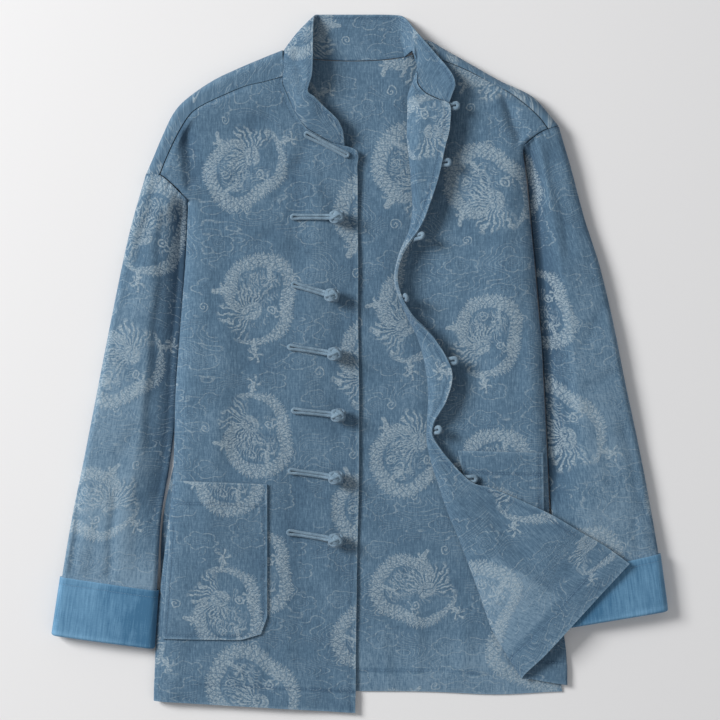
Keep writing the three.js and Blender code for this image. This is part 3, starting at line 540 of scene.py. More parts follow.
# The main folds: start x, y, end x, y, width and depth. A depth below 0 makes a ridge. The small
# creases after them have the same columns.
RIGHT_FRONT_FOLDS = [
    (-190, 262, -176, 195, 9, 4),
    (-170, 235, -140, 120, 14, 1.5),
    (-60, 225, -70, 120, 12, 1.2),
    (-40, 190, -60, -40, 14, -1),
    (-120, 60, -130, -100, 16, 1.2),
    (-150, -60, -160, -200, 12, -1),
    (-70, -120, -60, -300, 14, 1.2),
]
RIGHT_FRONT_CREASES = [
    (-183, 240, -179, 188, 4, 1.6),
    (-168, 205, -162, 150, 6, 1.0),
    (-110, 250, -128, 196, 9, 0.9),
    (-98, 262, -88, 214, 7, 0.7),
    (-60, 218, -86, 176, 7, 0.9),
    (-40, 212, -30, 150, 8, 0.7),
    (-76, 150, -108, 128, 7, 0.8),
    (-76, 80, -114, 64, 7, 0.7),
    (-80, 14, -108, 2, 6, 0.6),
    (-76, -50, -102, -62, 6, 0.6),
    (-150, 90, -158, 10, 10, 0.8),
    (-20, 60, -24, -80, 9, 0.6),
    (-110, -10, -96, -60, 8, -0.7),
    (-24, -130, -20, -250, 8, 0.6),
    (-90, -295, -100, -340, 9, 0.7),
    (-180, -300, -186, -350, 8, 0.8),
    (-40, -290, -34, -350, 9, 0.6),
    (-128, -300, -136, -352, 10, -0.6),
]


def seamed(table, columns, shoulder, armhole, last_shoulder, last_armhole):
    """A front's rows, their side on the shoulder seam, then the armhole, then the side seam."""
    free = track(table, columns)

    def at(v):
        row = {column: float(value) for column, value in free(v).items()}
        place = v * (len(table) - 1)
        if place < last_shoulder:
            seam = shoulder(1 - place / last_shoulder)
            row["sideX"], row["sideY"] = float(seam["seamX"]), float(seam["seamY"])
        elif place < last_armhole:
            part = (place - last_shoulder) / (last_armhole - last_shoulder)
            seam = armhole(mix(SHOULDER_END, 1, part))
            row["sideX"], row["sideY"] = float(seam["x"]), float(seam["y"])
        return row

    return at


def side_points(row, toward_x, toward_y):
    """The first three points of a front's section, in which it comes up from its side."""
    turned = float(rise(row["zSide"] - row["zEdge"], 0, FULL_TURN))
    side = np.array([row["sideX"], row["sideY"]])
    inward = np.array([toward_x, toward_y]) - side
    far = np.linalg.norm(inward)
    inward = inward / far
    roll = min(SIDE_ROLL, ROLL_SHARE * far)
    return [
        (*(side + inward * mix(SEAM_GAP, 0.3 * roll, turned)), row["zEdge"]),
        (*(side + inward * mix(0.4 * roll, 0, turned)), mix(row["zEdge"], row["zSide"], 0.5)),
        (*(side + inward * roll), row["zSide"]),
    ]


def between(row, start, end, t, z):
    """A point between two named places of a row, at height z."""
    x = mix(row[start + "X"], row[end + "X"], t)
    y = mix(row[start + "Y"], row[end + "Y"], t)
    return x, y, z


def normals_of(grid):
    """Unit normals of a grid of points, on the side that is the cloth's face."""
    across = np.gradient(grid, axis=1)
    along = np.gradient(grid, axis=0)
    side = np.cross(along, across)
    return side / np.maximum(np.linalg.norm(side, axis=2, keepdims=True), 1e-9)


def from_edge(grid, axis, last=True):
    """Each point's distance along the cloth from the last (or first) row or column."""
    steps = np.linalg.norm(np.diff(grid, axis=axis), axis=2)
    steps = np.insert(steps, 0, 0, axis=axis)
    length = np.cumsum(steps, axis=axis)
    return length.max(axis=axis, keepdims=True) - length if last else length


def pucker(distance, along, line, depth):
    """Small waves of cloth along a line of stitching, in mm."""
    waves = np.sin(along / 2.1 + 1.7 * np.sin(along / 13)) + 0.6 * np.sin(along / 3.7 + 1)
    return depth * waves * np.exp(-(((distance - line) / 5.5) ** 2))


def lay_sheet(name, grid, cloth, layers, painted_light_shade_and_tone, closed=False):
    """A grid primitive shaped into a piece of cloth, with a wall and its two faces.

    grid holds points in mm, cloth their places on the flat cloth in mm, layers the thickness as
    a share of two layers, and the last how much paler or (below 0) darker the colour is painted:
    painted light and shade, and one paler patch.
    """
    rows, columns = grid.shape[:2]
    bpy.ops.object.select_all(action="DESELECT")
    bpy.ops.mesh.primitive_grid_add(x_subdivisions=columns - 1, y_subdivisions=rows - 1, size=1)
    piece = bpy.context.object
    piece.name = name
    mesh = piece.data
    # The grid's rows run down the cloth, so its columns run backwards to face outwards.
    mesh.vertices.foreach_set("co", (grid[:, ::-1] * MM).reshape(-1))
    corners = np.empty(len(mesh.loops), int)
    mesh.loops.foreach_get("vertex_index", corners)
    mesh.uv_layers[0].name = "cloth"
    places = (cloth[:, ::-1] * MM).reshape(-1, 2)[corners]
    mesh.uv_layers["cloth"].data.foreach_set("uv", places.reshape(-1))
    # The painted light and shade, with one paler patch, is stored on the points.
    painted_layer = mesh.attributes.new("painted_light_shade_and_tone", "FLOAT", "POINT")
    painted_layer.data.foreach_set("value", np.broadcast_to(painted_light_shade_and_tone, (rows, columns))[:, ::-1].reshape(-1))
    group = piece.vertex_groups.new(name="layers")
    weights = np.clip(np.broadcast_to(layers, (rows, columns))[:, ::-1].reshape(-1), 0, 1)
    for index, weight in enumerate(weights):
        group.add([index], float(weight), "REPLACE")
    mesh.update()
    if closed:
        bpy.ops.object.mode_set(mode="EDIT")
        bpy.ops.mesh.select_all(action="SELECT")
        bpy.ops.mesh.remove_doubles(threshold=0.001 * MM)
        bpy.ops.object.mode_set(mode="OBJECT")
    wall = piece.modifiers.new("wall", "SOLIDIFY")
    wall.thickness = 2 * WALL * MM
    wall.offset = 0
    wall.vertex_group = "layers"
    wall.material_offset = 1
    bpy.ops.object.modifier_apply(modifier="wall")
    bpy.ops.object.shade_smooth_by_angle(angle=math.radians(60))
    return piece


def cover(piece, node, face, inner):
    """The piece takes the node's place, in two materials, and rides on the one body."""
    piece.data.materials.append(face)
    piece.data.materials.append(inner)
    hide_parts(node)
    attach(piece, "root")


def sample(grid, rows, columns):
    """Points of a grid at fractional rows and columns."""
    rows = np.clip(rows, 0, grid.shape[0] - 1.001)
    columns = np.clip(columns, 0, grid.shape[1] - 1.001)
    r = rows.astype(int)
    c = columns.astype(int)
    fr = (rows - r)[..., None]
    fc = (columns - c)[..., None]
    top = mix(grid[r, c], grid[r, c + 1], fc)
    return mix(top, mix(grid[r + 1, c], grid[r + 1, c + 1], fc), fr)


def crossings(distance, line, axis):
    """Rows and columns where the distance from an edge equals line, one for each of the other."""
    along = distance if axis == 0 else distance.T
    found = []
    for k in range(along.shape[1]):
        values = along[:, k]
        order = np.argsort(values)
        found.append(np.interp(line, values[order], order.astype(float)))
    found = np.array(found)
    others = np.arange(len(found), dtype=float)
    return (found, others) if axis == 0 else (others, found)


def pick(piece):
    """Make the piece the only one that Blender's tools work on."""
    bpy.ops.object.select_all(action="DESELECT")
    piece.select_set(True)
    bpy.context.view_layer.objects.active = piece


def sew(name, paths, out):
    """A run of stitches over each path, out mm over the middle of the cloth's wall.

    A path holds points and normals of the cloth, in mm.
    """
    capsule = [(-0.5, 0.0), (-0.32, 1.0), (0.32, 1.0), (0.5, 0.0)]
    points = []
    faces = []
    for path, sides in paths:
        steps = np.linalg.norm(np.diff(path, axis=0), axis=1)
        length = np.insert(np.cumsum(steps), 0, 0)
        places = np.arange(STITCH / 2, length[-1], STITCH)
        for place in places:
            middle = [np.interp(place, length, path[:, k]) for k in range(3)]
            ahead = [np.interp(place + 0.6, length, path[:, k]) for k in range(3)]
            up = np.array([np.interp(place, length, sides[:, k]) for k in range(3)])
            up /= np.linalg.norm(up)
            forward = np.array(ahead) - np.array(middle)
            forward -= up * (forward @ up)
            size = np.linalg.norm(forward)
            if size < 1e-6:
                continue
            forward /= size
            beside = np.cross(forward, up)
            base = len(points)
            for far, thick in capsule:
                centre = np.array(middle) + up * out + forward * far * STITCH * 0.8
                for angle in (0, 1, 2, 3):
                    turn = math.tau * angle / 4
                    round_it = beside * math.cos(turn) + up * math.sin(turn)
                    points.append(centre + round_it * max(thick * THREAD / 2, 0.04))
            for ring in range(3):
                for k in range(4):
                    a = base + 4 * ring + k
                    b = base + 4 * ring + (k + 1) % 4
                    faces.append((a, b, b + 4, a + 4))
            faces.append((base + 3, base + 2, base + 1, base))
            faces.append((base + 12, base + 13, base + 14, base + 15))
    mesh = bpy.data.meshes.new(name)
    mesh.from_pydata((np.array(points) * MM).tolist(), [], faces)
    piece = bpy.data.objects.new(name, mesh)
    bpy.context.collection.objects.link(piece)
    pick(piece)
    bpy.ops.object.mode_set(mode="EDIT")
    bpy.ops.mesh.select_all(action="SELECT")
    bpy.ops.mesh.normals_make_consistent(inside=False)
    bpy.ops.object.mode_set(mode="OBJECT")
    mesh.materials.append(thread)
    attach(piece, "root")
    return piece


def seam_path(grid, normals, rows, columns):
    return sample(grid, rows, columns), sample(normals, rows, columns)


right_front_row = seamed(RIGHT_FRONT, FRONT_COLUMNS, right_shoulder, right_armhole, 6, 9)


def right_front(us, vs):
    """Points of the right front's middle surface: a row for each v, from shoulder to hem."""
    rows = []
    for v in vs:
        row = right_front_row(v)
        rows.append(smooth(side_points(row, row["leadX"], row["leadY"]) + [
            between(row, "side", "lead", 0.5, row["zMiddle"]),
            between(row, "side", "lead", 0.82, mix(row["zMiddle"], row["zLead"], 0.6)),
            between(row, "side", "lead", 1, row["zLead"]),
        ], us))
    grid = np.array(rows)
    u, v = np.meshgrid(us, vs)
    loose = rise(u, 0.3, 0.42) * rise(1 - u, 0, 0.12) * rise(v, 0, 0.06)
    grid[..., 2] -= pressed(RIGHT_FRONT_FOLDS, grid[..., 0], grid[..., 1]) * loose
    free = rise(u, 0.22, 0.34) * rise(v, 0, 0.04) * (0.4 + 0.6 * rise(1 - u, 0, 0.1))
    laid = pressed(RIGHT_FRONT_CREASES, grid[..., 0], grid[..., 1])
    grid[..., 2] -= (laid + rumple(grid[..., 0], grid[..., 1])) * free
    return grid


RIGHT_ACROSS = 104              # points of its mesh, from the side to the leading edge
RIGHT_DOWN = 280                # and from the shoulder to the hem
right_grid = right_front(np.linspace(0, 1, RIGHT_ACROSS), np.linspace(0, 1, RIGHT_DOWN))
right_hem = from_edge(right_grid, 0)
right_lead = from_edge(right_grid, 1)
right_side = from_edge(right_grid, 1, last=False)
right_grid[..., 2] += pucker(right_hem, right_grid[..., 0], HEM, 0.16)
right_grid[..., 2] += pucker(right_lead, right_grid[..., 1], TOPSTITCH, 0.10)
right_normals = normals_of(right_grid)


def sewn(distance, line):
    """1 on a line of stitching and 0 more than a millimetre from it."""
    return np.exp(-(((distance - line) / STITCH_DIP) ** 2))


def painted_edge_highlight(distance, reach):
    """A painted highlight on a turned edge: paler colour from reach mm within it."""
    return 0.5 * rise(distance, reach, 0.5)


def painted_seam_shade(distance):
    """Painted shade: darker colour in the last two millimetres before a seam."""
    return 0.5 * rise(distance, 2.0, 0.0)


right_layers = 0.5 + 0.22 * rise(right_hem, HEM + 1.5, HEM)
right_layers += 0.16 * rise(right_lead, FACING + 2, FACING)
right_layers -= 0.26 * sewn(right_hem, HEM) + 0.2 * sewn(right_lead, TOPSTITCH)
# Painted light and shade: highlights on the turned edges, painted shade in the lines of stitching, at
# the side seam and in the folds and creases.
right_painted_light = painted_edge_highlight(right_lead, 2.5) + painted_edge_highlight(right_hem, 3)
right_painted_light -= 0.8 * sewn(right_hem, HEM) + 0.5 * sewn(right_lead, TOPSTITCH)
right_painted_light -= painted_seam_shade(right_side)
right_painted_light -= 0.14 * pressed(
    RIGHT_FRONT_FOLDS + RIGHT_FRONT_CREASES, right_grid[..., 0], right_grid[..., 1])
RIGHT_SHIFT = np.array([50.0, 72.0])    # of the panel on the woven repeat
front_right = lay_sheet(
    "right_front", right_grid, right_grid[..., :2] + RIGHT_SHIFT, right_layers, right_painted_light)
cover(front_right, "front_right", cloth_face, cloth_back)
sew("right_front_stitches", [
    seam_path(right_grid, right_normals, *crossings(right_hem, HEM, 0)),
    seam_path(right_grid, right_normals, *crossings(right_lead, TOPSTITCH, 1)),
], 0.62)

# The left front
# The wearer's left front, cut like the right one. Its leading edge has rolled outwards and its
# lower corner is folded back over the sleeve's end, so that the paler inner face shows.
left_shoulder = track([
    (207, 248, 196, 245),
    (198, 259, 187, 257),
    (182, 277, 174, 269),
    (164, 287, 158, 281),
    (146, 295, 142, 290),
    (116, 312, 111, 306),
    (88, 328, 86, 316),
    (68, 338, 70, 320),
    (57, 326, 59, 311),
], SHOULDER_COLUMNS)
left_armhole = track([(207, 248), (196, 245), (186, 240), (177, 233), (170, 227)], ("x", "y"))

# side, roll and free edge, then heights of the side's edge, the side's top, the middle, the
# valley beside the roll, the roll, the cloth just over it and the free edge
LEFT_COLUMNS = (
    "sideX", "sideY", "rollX", "rollY", "freeX", "freeY",
    "zEdge", "zSide", "zMiddle", "zValley", "zRoll", "zOver", "zFree")
LEFT_FRONT = [
    (66, 316, 59, 303, 60, 301, 15, 15, 15, 15, 17, 18.2, 18.6),
    (85, 315, 56, 294, 60, 291, 15, 15, 14, 13, 15, 19, 21),
    (111, 306, 52, 284, 67, 281.5, 15, 15.5, 13, 11, 14, 21, 23.5),
    (142, 290, 50, 274, 79, 275, 15, 16, 13, 9, 13, 21, 25.5),
    (170, 273, 50, 264, 93, 268.5, 15, 16, 13, 9, 14, 22, 27.5),
    (196, 244.5, 49.5, 246, 93.5, 249, 15, 16, 13, 8, 14, 23, 28),
    (185, 239, 49.5, 236, 92, 238, 15, 16, 13, 8, 14, 23, 28),
    (170.5, 226, 50.5, 225, 89, 227, 10, 15, 13, 8, 14, 23, 27),
    (172, 203, 53.5, 193, 82, 195, BACK_EDGE, 15, 13, 8, 14, 22, 26),
    (175, 172, 55.5, 166, 73.5, 168, BACK_EDGE, 15, 13, 8, 14, 21, 26),
    (178, 142, 52.5, 140, 63, 142, BACK_EDGE, 15, 13, 8, 14, 20, 25),
    (181, 113, 41, 111, 43, 112, BACK_EDGE, 15, 13, 8, 13, 19, 25),
    (183.5, 83, 37.5, 83.5, 38.5, 83.5, BACK_EDGE, 15, 13, 8, 13, 19, 25),
    (186, 52, 49, 52, 51.5, 53, BACK_EDGE, 15, 13, 8, 13, 19, 25),
    (189, 25, 62, 24, 77.5, 26, BACK_EDGE, 15, 12, 8, 13, 20, 25),
    (190.5, -9, 70, -9, 95.5, -8, BACK_EDGE, 15, 12, 8, 13, 20, 24),
    (192, -38, 72, -39, 90, -38, BACK_EDGE, 15, 12, 7.5, 12, 19, 23),
    (193.5, -64, 71, -63.5, 76.5, -63.5, BACK_EDGE, 14, 11, 7, 11, 16, 20),
    (194.5, -87, 71.5, -87, 80, -83, BACK_EDGE, 13, 10, 6.5, 10, 14, 18),
    (196, -116, 81, -122, 113, -121, BACK_EDGE, 11, 9, 6, 9, 15, 17),
    (197.5, -154, 92.5, -156, 138.5, -130, BACK_EDGE, 9, 8, 5.5, 8, 14.5, 17),
    (199.5, -196, 108, -194, 170, -143.5, BACK_EDGE, 8, 7, 5, 7.5, 13.5, 17.5),
    (205, -240, 125, -240, 200.5, -158, BACK_EDGE, 7, 6.5, 5, 8, 14, 19.5),
    (212, -276, 138.5, -278, 231, -176, BACK_EDGE, 6.5, 6, 5, 8.5, 15, 21),
    (216.5, -306, 155.5, -307, 256, -190.5, BACK_EDGE, 6, 6, 5, 9, 16.5, 21.5),
    (218, -337, 170, -329, 280, -208, 3.4, 5.5, 5.5, 5, 9, 17.5, 21.5),
]
LEFT_FRONT_FOLDS = [
    (147, 296, 170, 222, 7, 4.5),
    (120, 270, 110, 180, 14, 1.2),
    (150, 190, 140, 60, 15, -1),
    (110, 130, 120, 0, 14, 1.2),
    (160, 20, 168, -80, 12, 1),
]
LEFT_FRONT_CREASES = [
    (150, 290, 160, 246, 4, 1.2),
    (132, 284, 140, 232, 7, 0.8),
    (168, 180, 160, 110, 8, 0.8),
    (132, 120, 138, 40, 9, 0.7),
    (170, 60, 166, -20, 8, 0.7),
    (120, -10, 128, -60, 9, 0.7),
    (150, 60, 146, 0, 8, -0.6),
]
FLAP_FOLDS = [
    (150, -180, 200, -235, 12, 1.2),
    (120, -150, 160, -260, 10, -1),
]
FLAP_CREASES = [
    (128, -150, 168, -196, 8, 0.8),
    (196, -196, 236, -214, 7, 0.7),
    (172, -250, 196, -282, 7, 0.6),
    (214, -232, 248, -222, 8, -0.5),
]
ROLL_AT = 5 / 8                 # share of a section that lies under the roll
left_front_row = seamed(LEFT_FRONT, LEFT_COLUMNS, left_shoulder, left_armhole, 5, 7)


def left_front(us, vs):
    """Points of the left front's middle surface: a row for each v, from shoulder to hem."""
    rows = []
    for v in vs:
        row = left_front_row(v)
        rows.append(smooth(side_points(row, row["rollX"], row["rollY"]) + [
            between(row, "side", "roll", 0.45, row["zMiddle"]),
            between(row, "side", "roll", 0.8, row["zValley"]),
            between(row, "side", "roll", 1, row["zRoll"]),
            between(row, "roll", "free", 0.22, row["zOver"]),
            between(row, "roll", "free", 0.6, mix(row["zOver"], row["zFree"], 0.5)),
            between(row, "roll", "free", 1, row["zFree"]),
        ], us))
    grid = np.array(rows)
    u, v = np.meshgrid(us, vs)
    x = grid[..., 0].copy()
    y = grid[..., 1].copy()
    low = rise(u, 0.2, 0.28) * rise(0.56 - u, 0, 0.08) * rise(v, 0, 0.06)
    flap = rise(u, 0.78, 0.86) * rise(1 - u, 0, 0.05) * rise(v, 0.76, 0.81)
    grid[..., 2] -= (pressed(LEFT_FRONT_FOLDS, x, y) + pressed(LEFT_FRONT_CREASES, x, y)) * low
    grid[..., 2] -= (pressed(FLAP_FOLDS, x, y) + pressed(FLAP_CREASES, x, y)) * flap
    grid[..., 2] -= rumple(x, y) * (0.7 * low + 0.7 * flap)
    return grid


def unrolled(grid, at_roll):
    """Places on the flat cloth: what lies past the roll is turned back over the roll's line."""
    flat = grid[..., :2].copy()
    roll = grid[:, at_roll, :2]
    line = np.gradient(roll, axis=0)
    line /= np.linalg.norm(line, axis=1, keepdims=True)
    out = grid[:, 0, :2] - roll
    out /= np.maximum(np.linalg.norm(out, axis=1, keepdims=True), 1e-6)
    back_over = 2 * (line * out).sum(1, keepdims=True) * line - out
    past = from_edge(grid[:, :at_roll + 1], 1)
    flat[:, :at_roll + 1] = roll[:, None] + back_over[:, None] * past[..., None]
    return flat


# The columns run from the free edge, over the roll, to the side
LEFT_ACROSS = 137
LEFT_DOWN = 286
left_us = np.linspace(1, 0, LEFT_ACROSS)
left_roll = int(np.argmin(np.abs(left_us - ROLL_AT)))
left_grid = left_front(left_us, np.linspace(0, 1, LEFT_DOWN))
left_hem = from_edge(left_grid, 0)
left_lead = from_edge(left_grid, 1, last=False)
left_side = from_edge(left_grid, 1)
left_grid[..., 2] += pucker(left_hem, left_grid[..., 0], HEM, 0.14)
left_grid[..., 2] += pucker(left_lead, left_grid[..., 1], TOPSTITCH, 0.10)
left_normals = normals_of(left_grid)
left_layers = 0.5 + 0.24 * rise(left_hem, HEM + 1.5, HEM)
left_layers += 0.24 * rise(left_lead, FACING + 2, FACING)
left_layers -= 0.26 * sewn(left_hem, HEM) + 0.24 * sewn(left_lead, TOPSTITCH)
# Painted light and shade: highlights on the turned edges, painted shade in the lines of stitching and
# at the side seam.
left_painted_light_and_tone = painted_edge_highlight(left_lead, 2.5) + painted_edge_highlight(left_hem, 3)
left_painted_light_and_tone -= 0.8 * sewn(left_hem, HEM) + 0.7 * sewn(left_lead, TOPSTITCH)
left_painted_light_and_tone -= painted_seam_shade(left_side)
# Inside the turned corner, past the facing and the hem, a patch is drawn paler.
left_pale_patch = rise(left_hem, 27, 31) * rise(left_hem, 116, 111) * rise(left_lead, 68, 73)
left_painted_light_and_tone += 0.62 * left_pale_patch * rise(left_us, ROLL_AT, ROLL_AT + 0.03)
LEFT_SHIFT = np.array([60.0, -30.0])    # of the panel on the woven repeat
front_left = lay_sheet(
    "left_front", left_grid, unrolled(left_grid, left_roll) + LEFT_SHIFT, left_layers, left_painted_light_and_tone)
cover(front_left, "front_left", cloth_face, cloth_back)
sew("left_front_stitches", [
    seam_path(left_grid, -left_normals, *crossings(left_hem, HEM, 0)),
    seam_path(left_grid, left_normals, *crossings(left_hem, HEM, 0)),
    seam_path(left_grid, -left_normals, *crossings(left_lead, TOPSTITCH, 1)),
], 0.72)

# The back
# One piece of the same jacquard from hem to shoulders. Its face lies on the surface, so its
# paler inner side shows in the neck and below the open fronts. It turns over the shoulders.
TABLE = 0.75                    # middle surface of a wall that lies on the surface
SHOULDER = 15.0                 # of the shoulder seams
TURN = (SHOULDER - TABLE) / 2   # radius of the turn over the shoulder
NECK_TURN = 0.06                # the turn runs this far along the neck
NECK_SLOPE = 50.0               # and leans this many mm for each unit along it
right_edge = track([
    (-209, -344), (-206, -290), (-209, -230), (-206.4, -160), (-189, -70), (-186, 10), (-180, 90),
    (-177, 150), (-180, 172), (-197, 189), (-209, 197), (-216, 198),
], ("x", "y"))
left_edge = track([
    (212, -344), (205, -290), (198, -230), (194, -150), (190, -70), (185, 10), (180, 90),
    (173, 165), (167.5, 219), (175.5, 235), (184.5, 242), (199, 249.5),
], ("x", "y"))
hem_line = track([(-345,), (-344,), (-344,), (-343.5,), (-344,), (-347,), (-344,)], ("y",))
neck_line = track(
    [(-80, 321), (-60, 319.5), (-30, 317.5), (0, 317), (30, 318.5), (52, 322)], ("x", "y"))
BACK_CREASES = [
    (-60, 300, -40, 180, 16, 1.0),
    (40, 290, 20, 120, 18, 0.9),
    (-120, 40, -110, -120, 16, 1.0),
    (90, 60, 110, -90, 15, 0.9),
    (0, -150, 12, -300, 18, 1.0),
    (60, -320, 58, -262, 9, 1.0),
    (104, -330, 112, -280, 8, 0.9),
    (30, -335, 26, -290, 8, 0.8),
    (150, -300, 146, -230, 12, 0.8),
]
TURNED_ROWS = np.linspace(0.3, 60, 36)  # mm down a column, over the shoulder's turn
LYING_ROWS = 170                # below them, on the surface


def column_end(c):
    """Where a column of the back ends: c is 0 to 1 on the right shoulder, then neck, then left."""
    if c <= 1 or c >= 2:
        place = right_shoulder(c) if c <= 1 else left_shoulder(3 - c)
        outline = np.array([place["outX"], place["outY"]])
        return outline, np.array([place["seamX"], place["seamY"]]), 1, 0
    near = min(c - 1, 2 - c)
    if near > NECK_TURN:
        place = neck_line(c - 1)
        outline = np.array([place["x"], place["y"]])
        return outline, outline, 0, 0
    place = right_shoulder(1) if c < 1.5 else left_shoulder(1)
    shift = np.array([(1 if c < 1.5 else -1) * NECK_SLOPE * near, 0])
    outline = np.array([place["outX"], place["outY"]])
    return outline + shift, np.array([place["seamX"], place["seamY"]]) + shift, 1, near / NECK_TURN


def back_column(c):
    """Points down column c of the back's middle surface, and their places on the flat cloth."""
    outline, seam, turned, cut = column_end(c)
    reach = np.linalg.norm(seam - outline) or 1
    toward = (seam - outline) / reach
    over = max(0, reach - TURN) * turned
    turn = math.pi * TURN * turned
    foot = outline + toward * TURN * turned
    hem_y = float(hem_line(c / 3)["y"])
    start = cut * (over + turn)
    end = over + turn + foot[1] - hem_y
    lying = np.linspace(start + TURNED_ROWS[-1], end, LYING_ROWS + 1)[1:]
    down = np.concatenate([start + TURNED_ROWS, lying])
    angle = np.clip((down - over) / TURN, 0, math.pi)
    on_top = seam - toward * down[:, None]
    turning = foot - toward * (TURN * np.sin(angle))[:, None]
    # On the surface below, the column runs between the two sides.
    v = np.clip((end - down) / (foot[1] - hem_y), 0, 1)
    right = right_edge(v)
    left = left_edge(v)
    right_top = right_edge(1)
    left_top = left_edge(1)
    top = (foot[0] - right_top["x"]) / (left_top["x"] - right_top["x"])
    part = mix(c / 3, top, v ** 2)
    low_y = mix(right_edge(0)["y"], left_edge(0)["y"], part)
    even_y = mix(low_y, mix(right_top["y"], left_top["y"], part), v)
    flat_y = mix(hem_y, foot[1], v) + mix(right["y"], left["y"], part) - even_y
    flat = np.stack([mix(right["x"], left["x"], part), flat_y], -1)
    on = (down < over)[:, None]
    round_it = (down < over + turn)[:, None]
    plan = np.where(on, on_top, np.where(round_it, turning, flat))
    z = np.where(on[:, 0], SHOULDER, np.where(
        round_it[:, 0], TABLE + TURN * (1 + np.cos(angle)), TABLE))
    above = np.maximum(0, over + turn - down)
    cloth = np.stack([plan[:, 0], np.where(round_it[:, 0], foot[1] + above, plan[:, 1])], -1)
    return np.column_stack([plan, z]), cloth


# The columns run from the left side to the right, so that the face lies down
NECK_PLACES = np.concatenate([
    np.linspace(1.01, 1.06, 6), np.linspace(1.075, 1.925, 44), np.linspace(1.94, 1.99, 6)])
BACK_PLACES = np.concatenate([np.linspace(0, 1, 34), NECK_PLACES, np.linspace(2, 3, 34)])[::-1]
back_columns = [back_column(c) for c in BACK_PLACES]
back_grid = np.stack([points for points, _ in back_columns], axis=1)
back_cloth = np.stack([cloth for _, cloth in back_columns], axis=1)
back_hem = from_edge(back_grid, 0)
back_side = np.minimum(from_edge(back_grid, 1), from_edge(back_grid, 1, last=False))
back_lie = (back_grid[..., 2] < TABLE + 0.01) * rise(back_side, 2, 20)
back_x = back_grid[..., 0].copy()
back_y = back_grid[..., 1].copy()
back_lift = pressed(BACK_CREASES, back_x, back_y) + 0.5 * rumple(back_x, back_y) + 0.5
back_lift += pucker(back_hem, back_x, HEM, 0.2)
back_grid[..., 2] += np.maximum(back_lift, 0) * back_lie * rise(back_hem, 0, 3)
back_layers = 0.5 + 0.2 * rise(back_hem, HEM + 1.5, HEM) - 0.24 * sewn(back_hem, HEM)
# Painted light and shade: a highlight on the hem's edge, painted shade in its stitching and at the
# sides, and painted light making the back paler within 70 mm of its hem.
back_painted_light = painted_edge_highlight(back_hem, 3) - 0.8 * sewn(back_hem, HEM) - painted_seam_shade(back_side)
back_painted_light = back_painted_light + 0.45 * rise(back_hem, 70, 30)
BACK_SHIFT = (10, 20)
back = lay_sheet("back_panel", back_grid, back_cloth + BACK_SHIFT, back_layers, back_painted_light)
cover(back, "back", cloth_face, cloth_back)
sew("back_hem_stitches", [
    seam_path(back_grid, -normals_of(back_grid), *crossings(back_hem, HEM, 0)),
], 0.72)

# The sleeves
# Each sleeve is one piece of jacquard sewn into a tube along its inner side, set into the drop
# shoulder and pressed flat where it lies. It bends a little at the elbow.
SLEEVE_COLUMNS = ("outX", "outY", "inX", "inY", "base", "high")
LAID = SHOULDER - TABLE         # height of a pressed sleeve at the shoulder seam
CUFF_WALL = 1.5
CUFF_OUT = 2.0                  # the cuff's middle surface, out from the sleeve's
CUFFED = CUFF_OUT + CUFF_WALL / 2
HEAD = 0.1                      # the sleeve follows the armhole seam down to here
FALL = 0.8                      # share of its height that a sleeve loses beside the body
TUCK = {"right": 1.4, "left": 0.0}      # and how far it reaches in there
SLEEVES = {
    "right": [
        (-223, 197, -184, 169, TABLE, LAID),
        (-234, 161, -183.5, 140, TABLE, LAID),
        (-243, 126, -185.5, 100, TABLE, 14),
        (-254, 74, -188.5, 55, TABLE, 14),
        (-266, 14, -193.5, -5, TABLE, 13),
        (-278, -48, -196, -60, TABLE, 13),
        (-289, -104, -202, -108, TABLE, 12),
        (-301, -163, -210, -160, TABLE, 11.5),
        (-311, -223, -213, -237, CUFFED, 10.5),
        (-320, -282, -217, -296, CUFFED, 10.5),
    ],
    "left": [
        (207, 247, 173, 226, TABLE, LAID),
        (219, 208, 177, 188, TABLE, LAID),
        (234, 152, 181, 140, TABLE, 14),
        (250, 102, 186, 88, TABLE, 14),
        (264, 44, 190.5, 35, TABLE, 13),
        (276, -16, 194, -20, TABLE, 13),
        (288, -72, 197, -78, TABLE, 12),
        (300, -132, 200, -142, TABLE, 11.5),
        (311.5, -199, 207.5, -222, CUFFED, 10.5),
        (319.5, -257, 218, -274, CUFFED, 10.5),
    ],
}
SLEEVE_CREASES = {
    "right": [
        (-205, 150, -221, -84, 7, 2.6),
        (-214, 186, -232, 110, 6, 1.4),
        (-240, 120, -252, 40, 9, 1.0),
        (-262, 20, -232, -12, 7, 0.9),
        (-270, -40, -240, -50, 6, 0.8),
        (-236, -70, -262, -130, 9, 0.9),
        (-293, -130, -301, -214, 4.5, 2.4),
        (-257, -140, -262, -218, 5, 1.8),
        (-232, -130, -234, -210, 7, 1.0),
        (-276, -170, -281, -216, 6, 0.8),
    ],
    "left": [
        (198, 214, 218, 120, 7, 1.6),
        (222, 190, 240, 110, 7, 1.0),
        (202, 90, 216, -40, 8, 1.4),
        (256, 60, 232, 20, 8, 0.9),
        (264, -10, 238, -24, 7, 0.8),
        (244, -50, 262, -120, 8, 1.0),
        (276, -70, 294, -150, 7, 1.2),
        (222, -60, 236, -130, 8, 0.9),
        (300, -150, 306, -196, 6, 1.1),
        (286, -160, 290, -196, 5, 0.8),
    ],
}
UNDERSIDE_CREASES = {
    "right": [
        (-215, 120, -236, -40, 9, 0.8),
        (-250, 60, -262, -60, 8, 0.6),
        (-262, -120, -276, -210, 8, 0.7),
    ],
    "left": [
        (210, 150, 226, 20, 9, 0.8),
        (244, 70, 254, -40, 8, 0.6),
        (262, -100, 276, -190, 8, 0.7),
    ],
}
SEAM_SHIFT = {"right": (-0.45, -0.3), "left": (0.4, -0.45)}     # out from the armhole seam
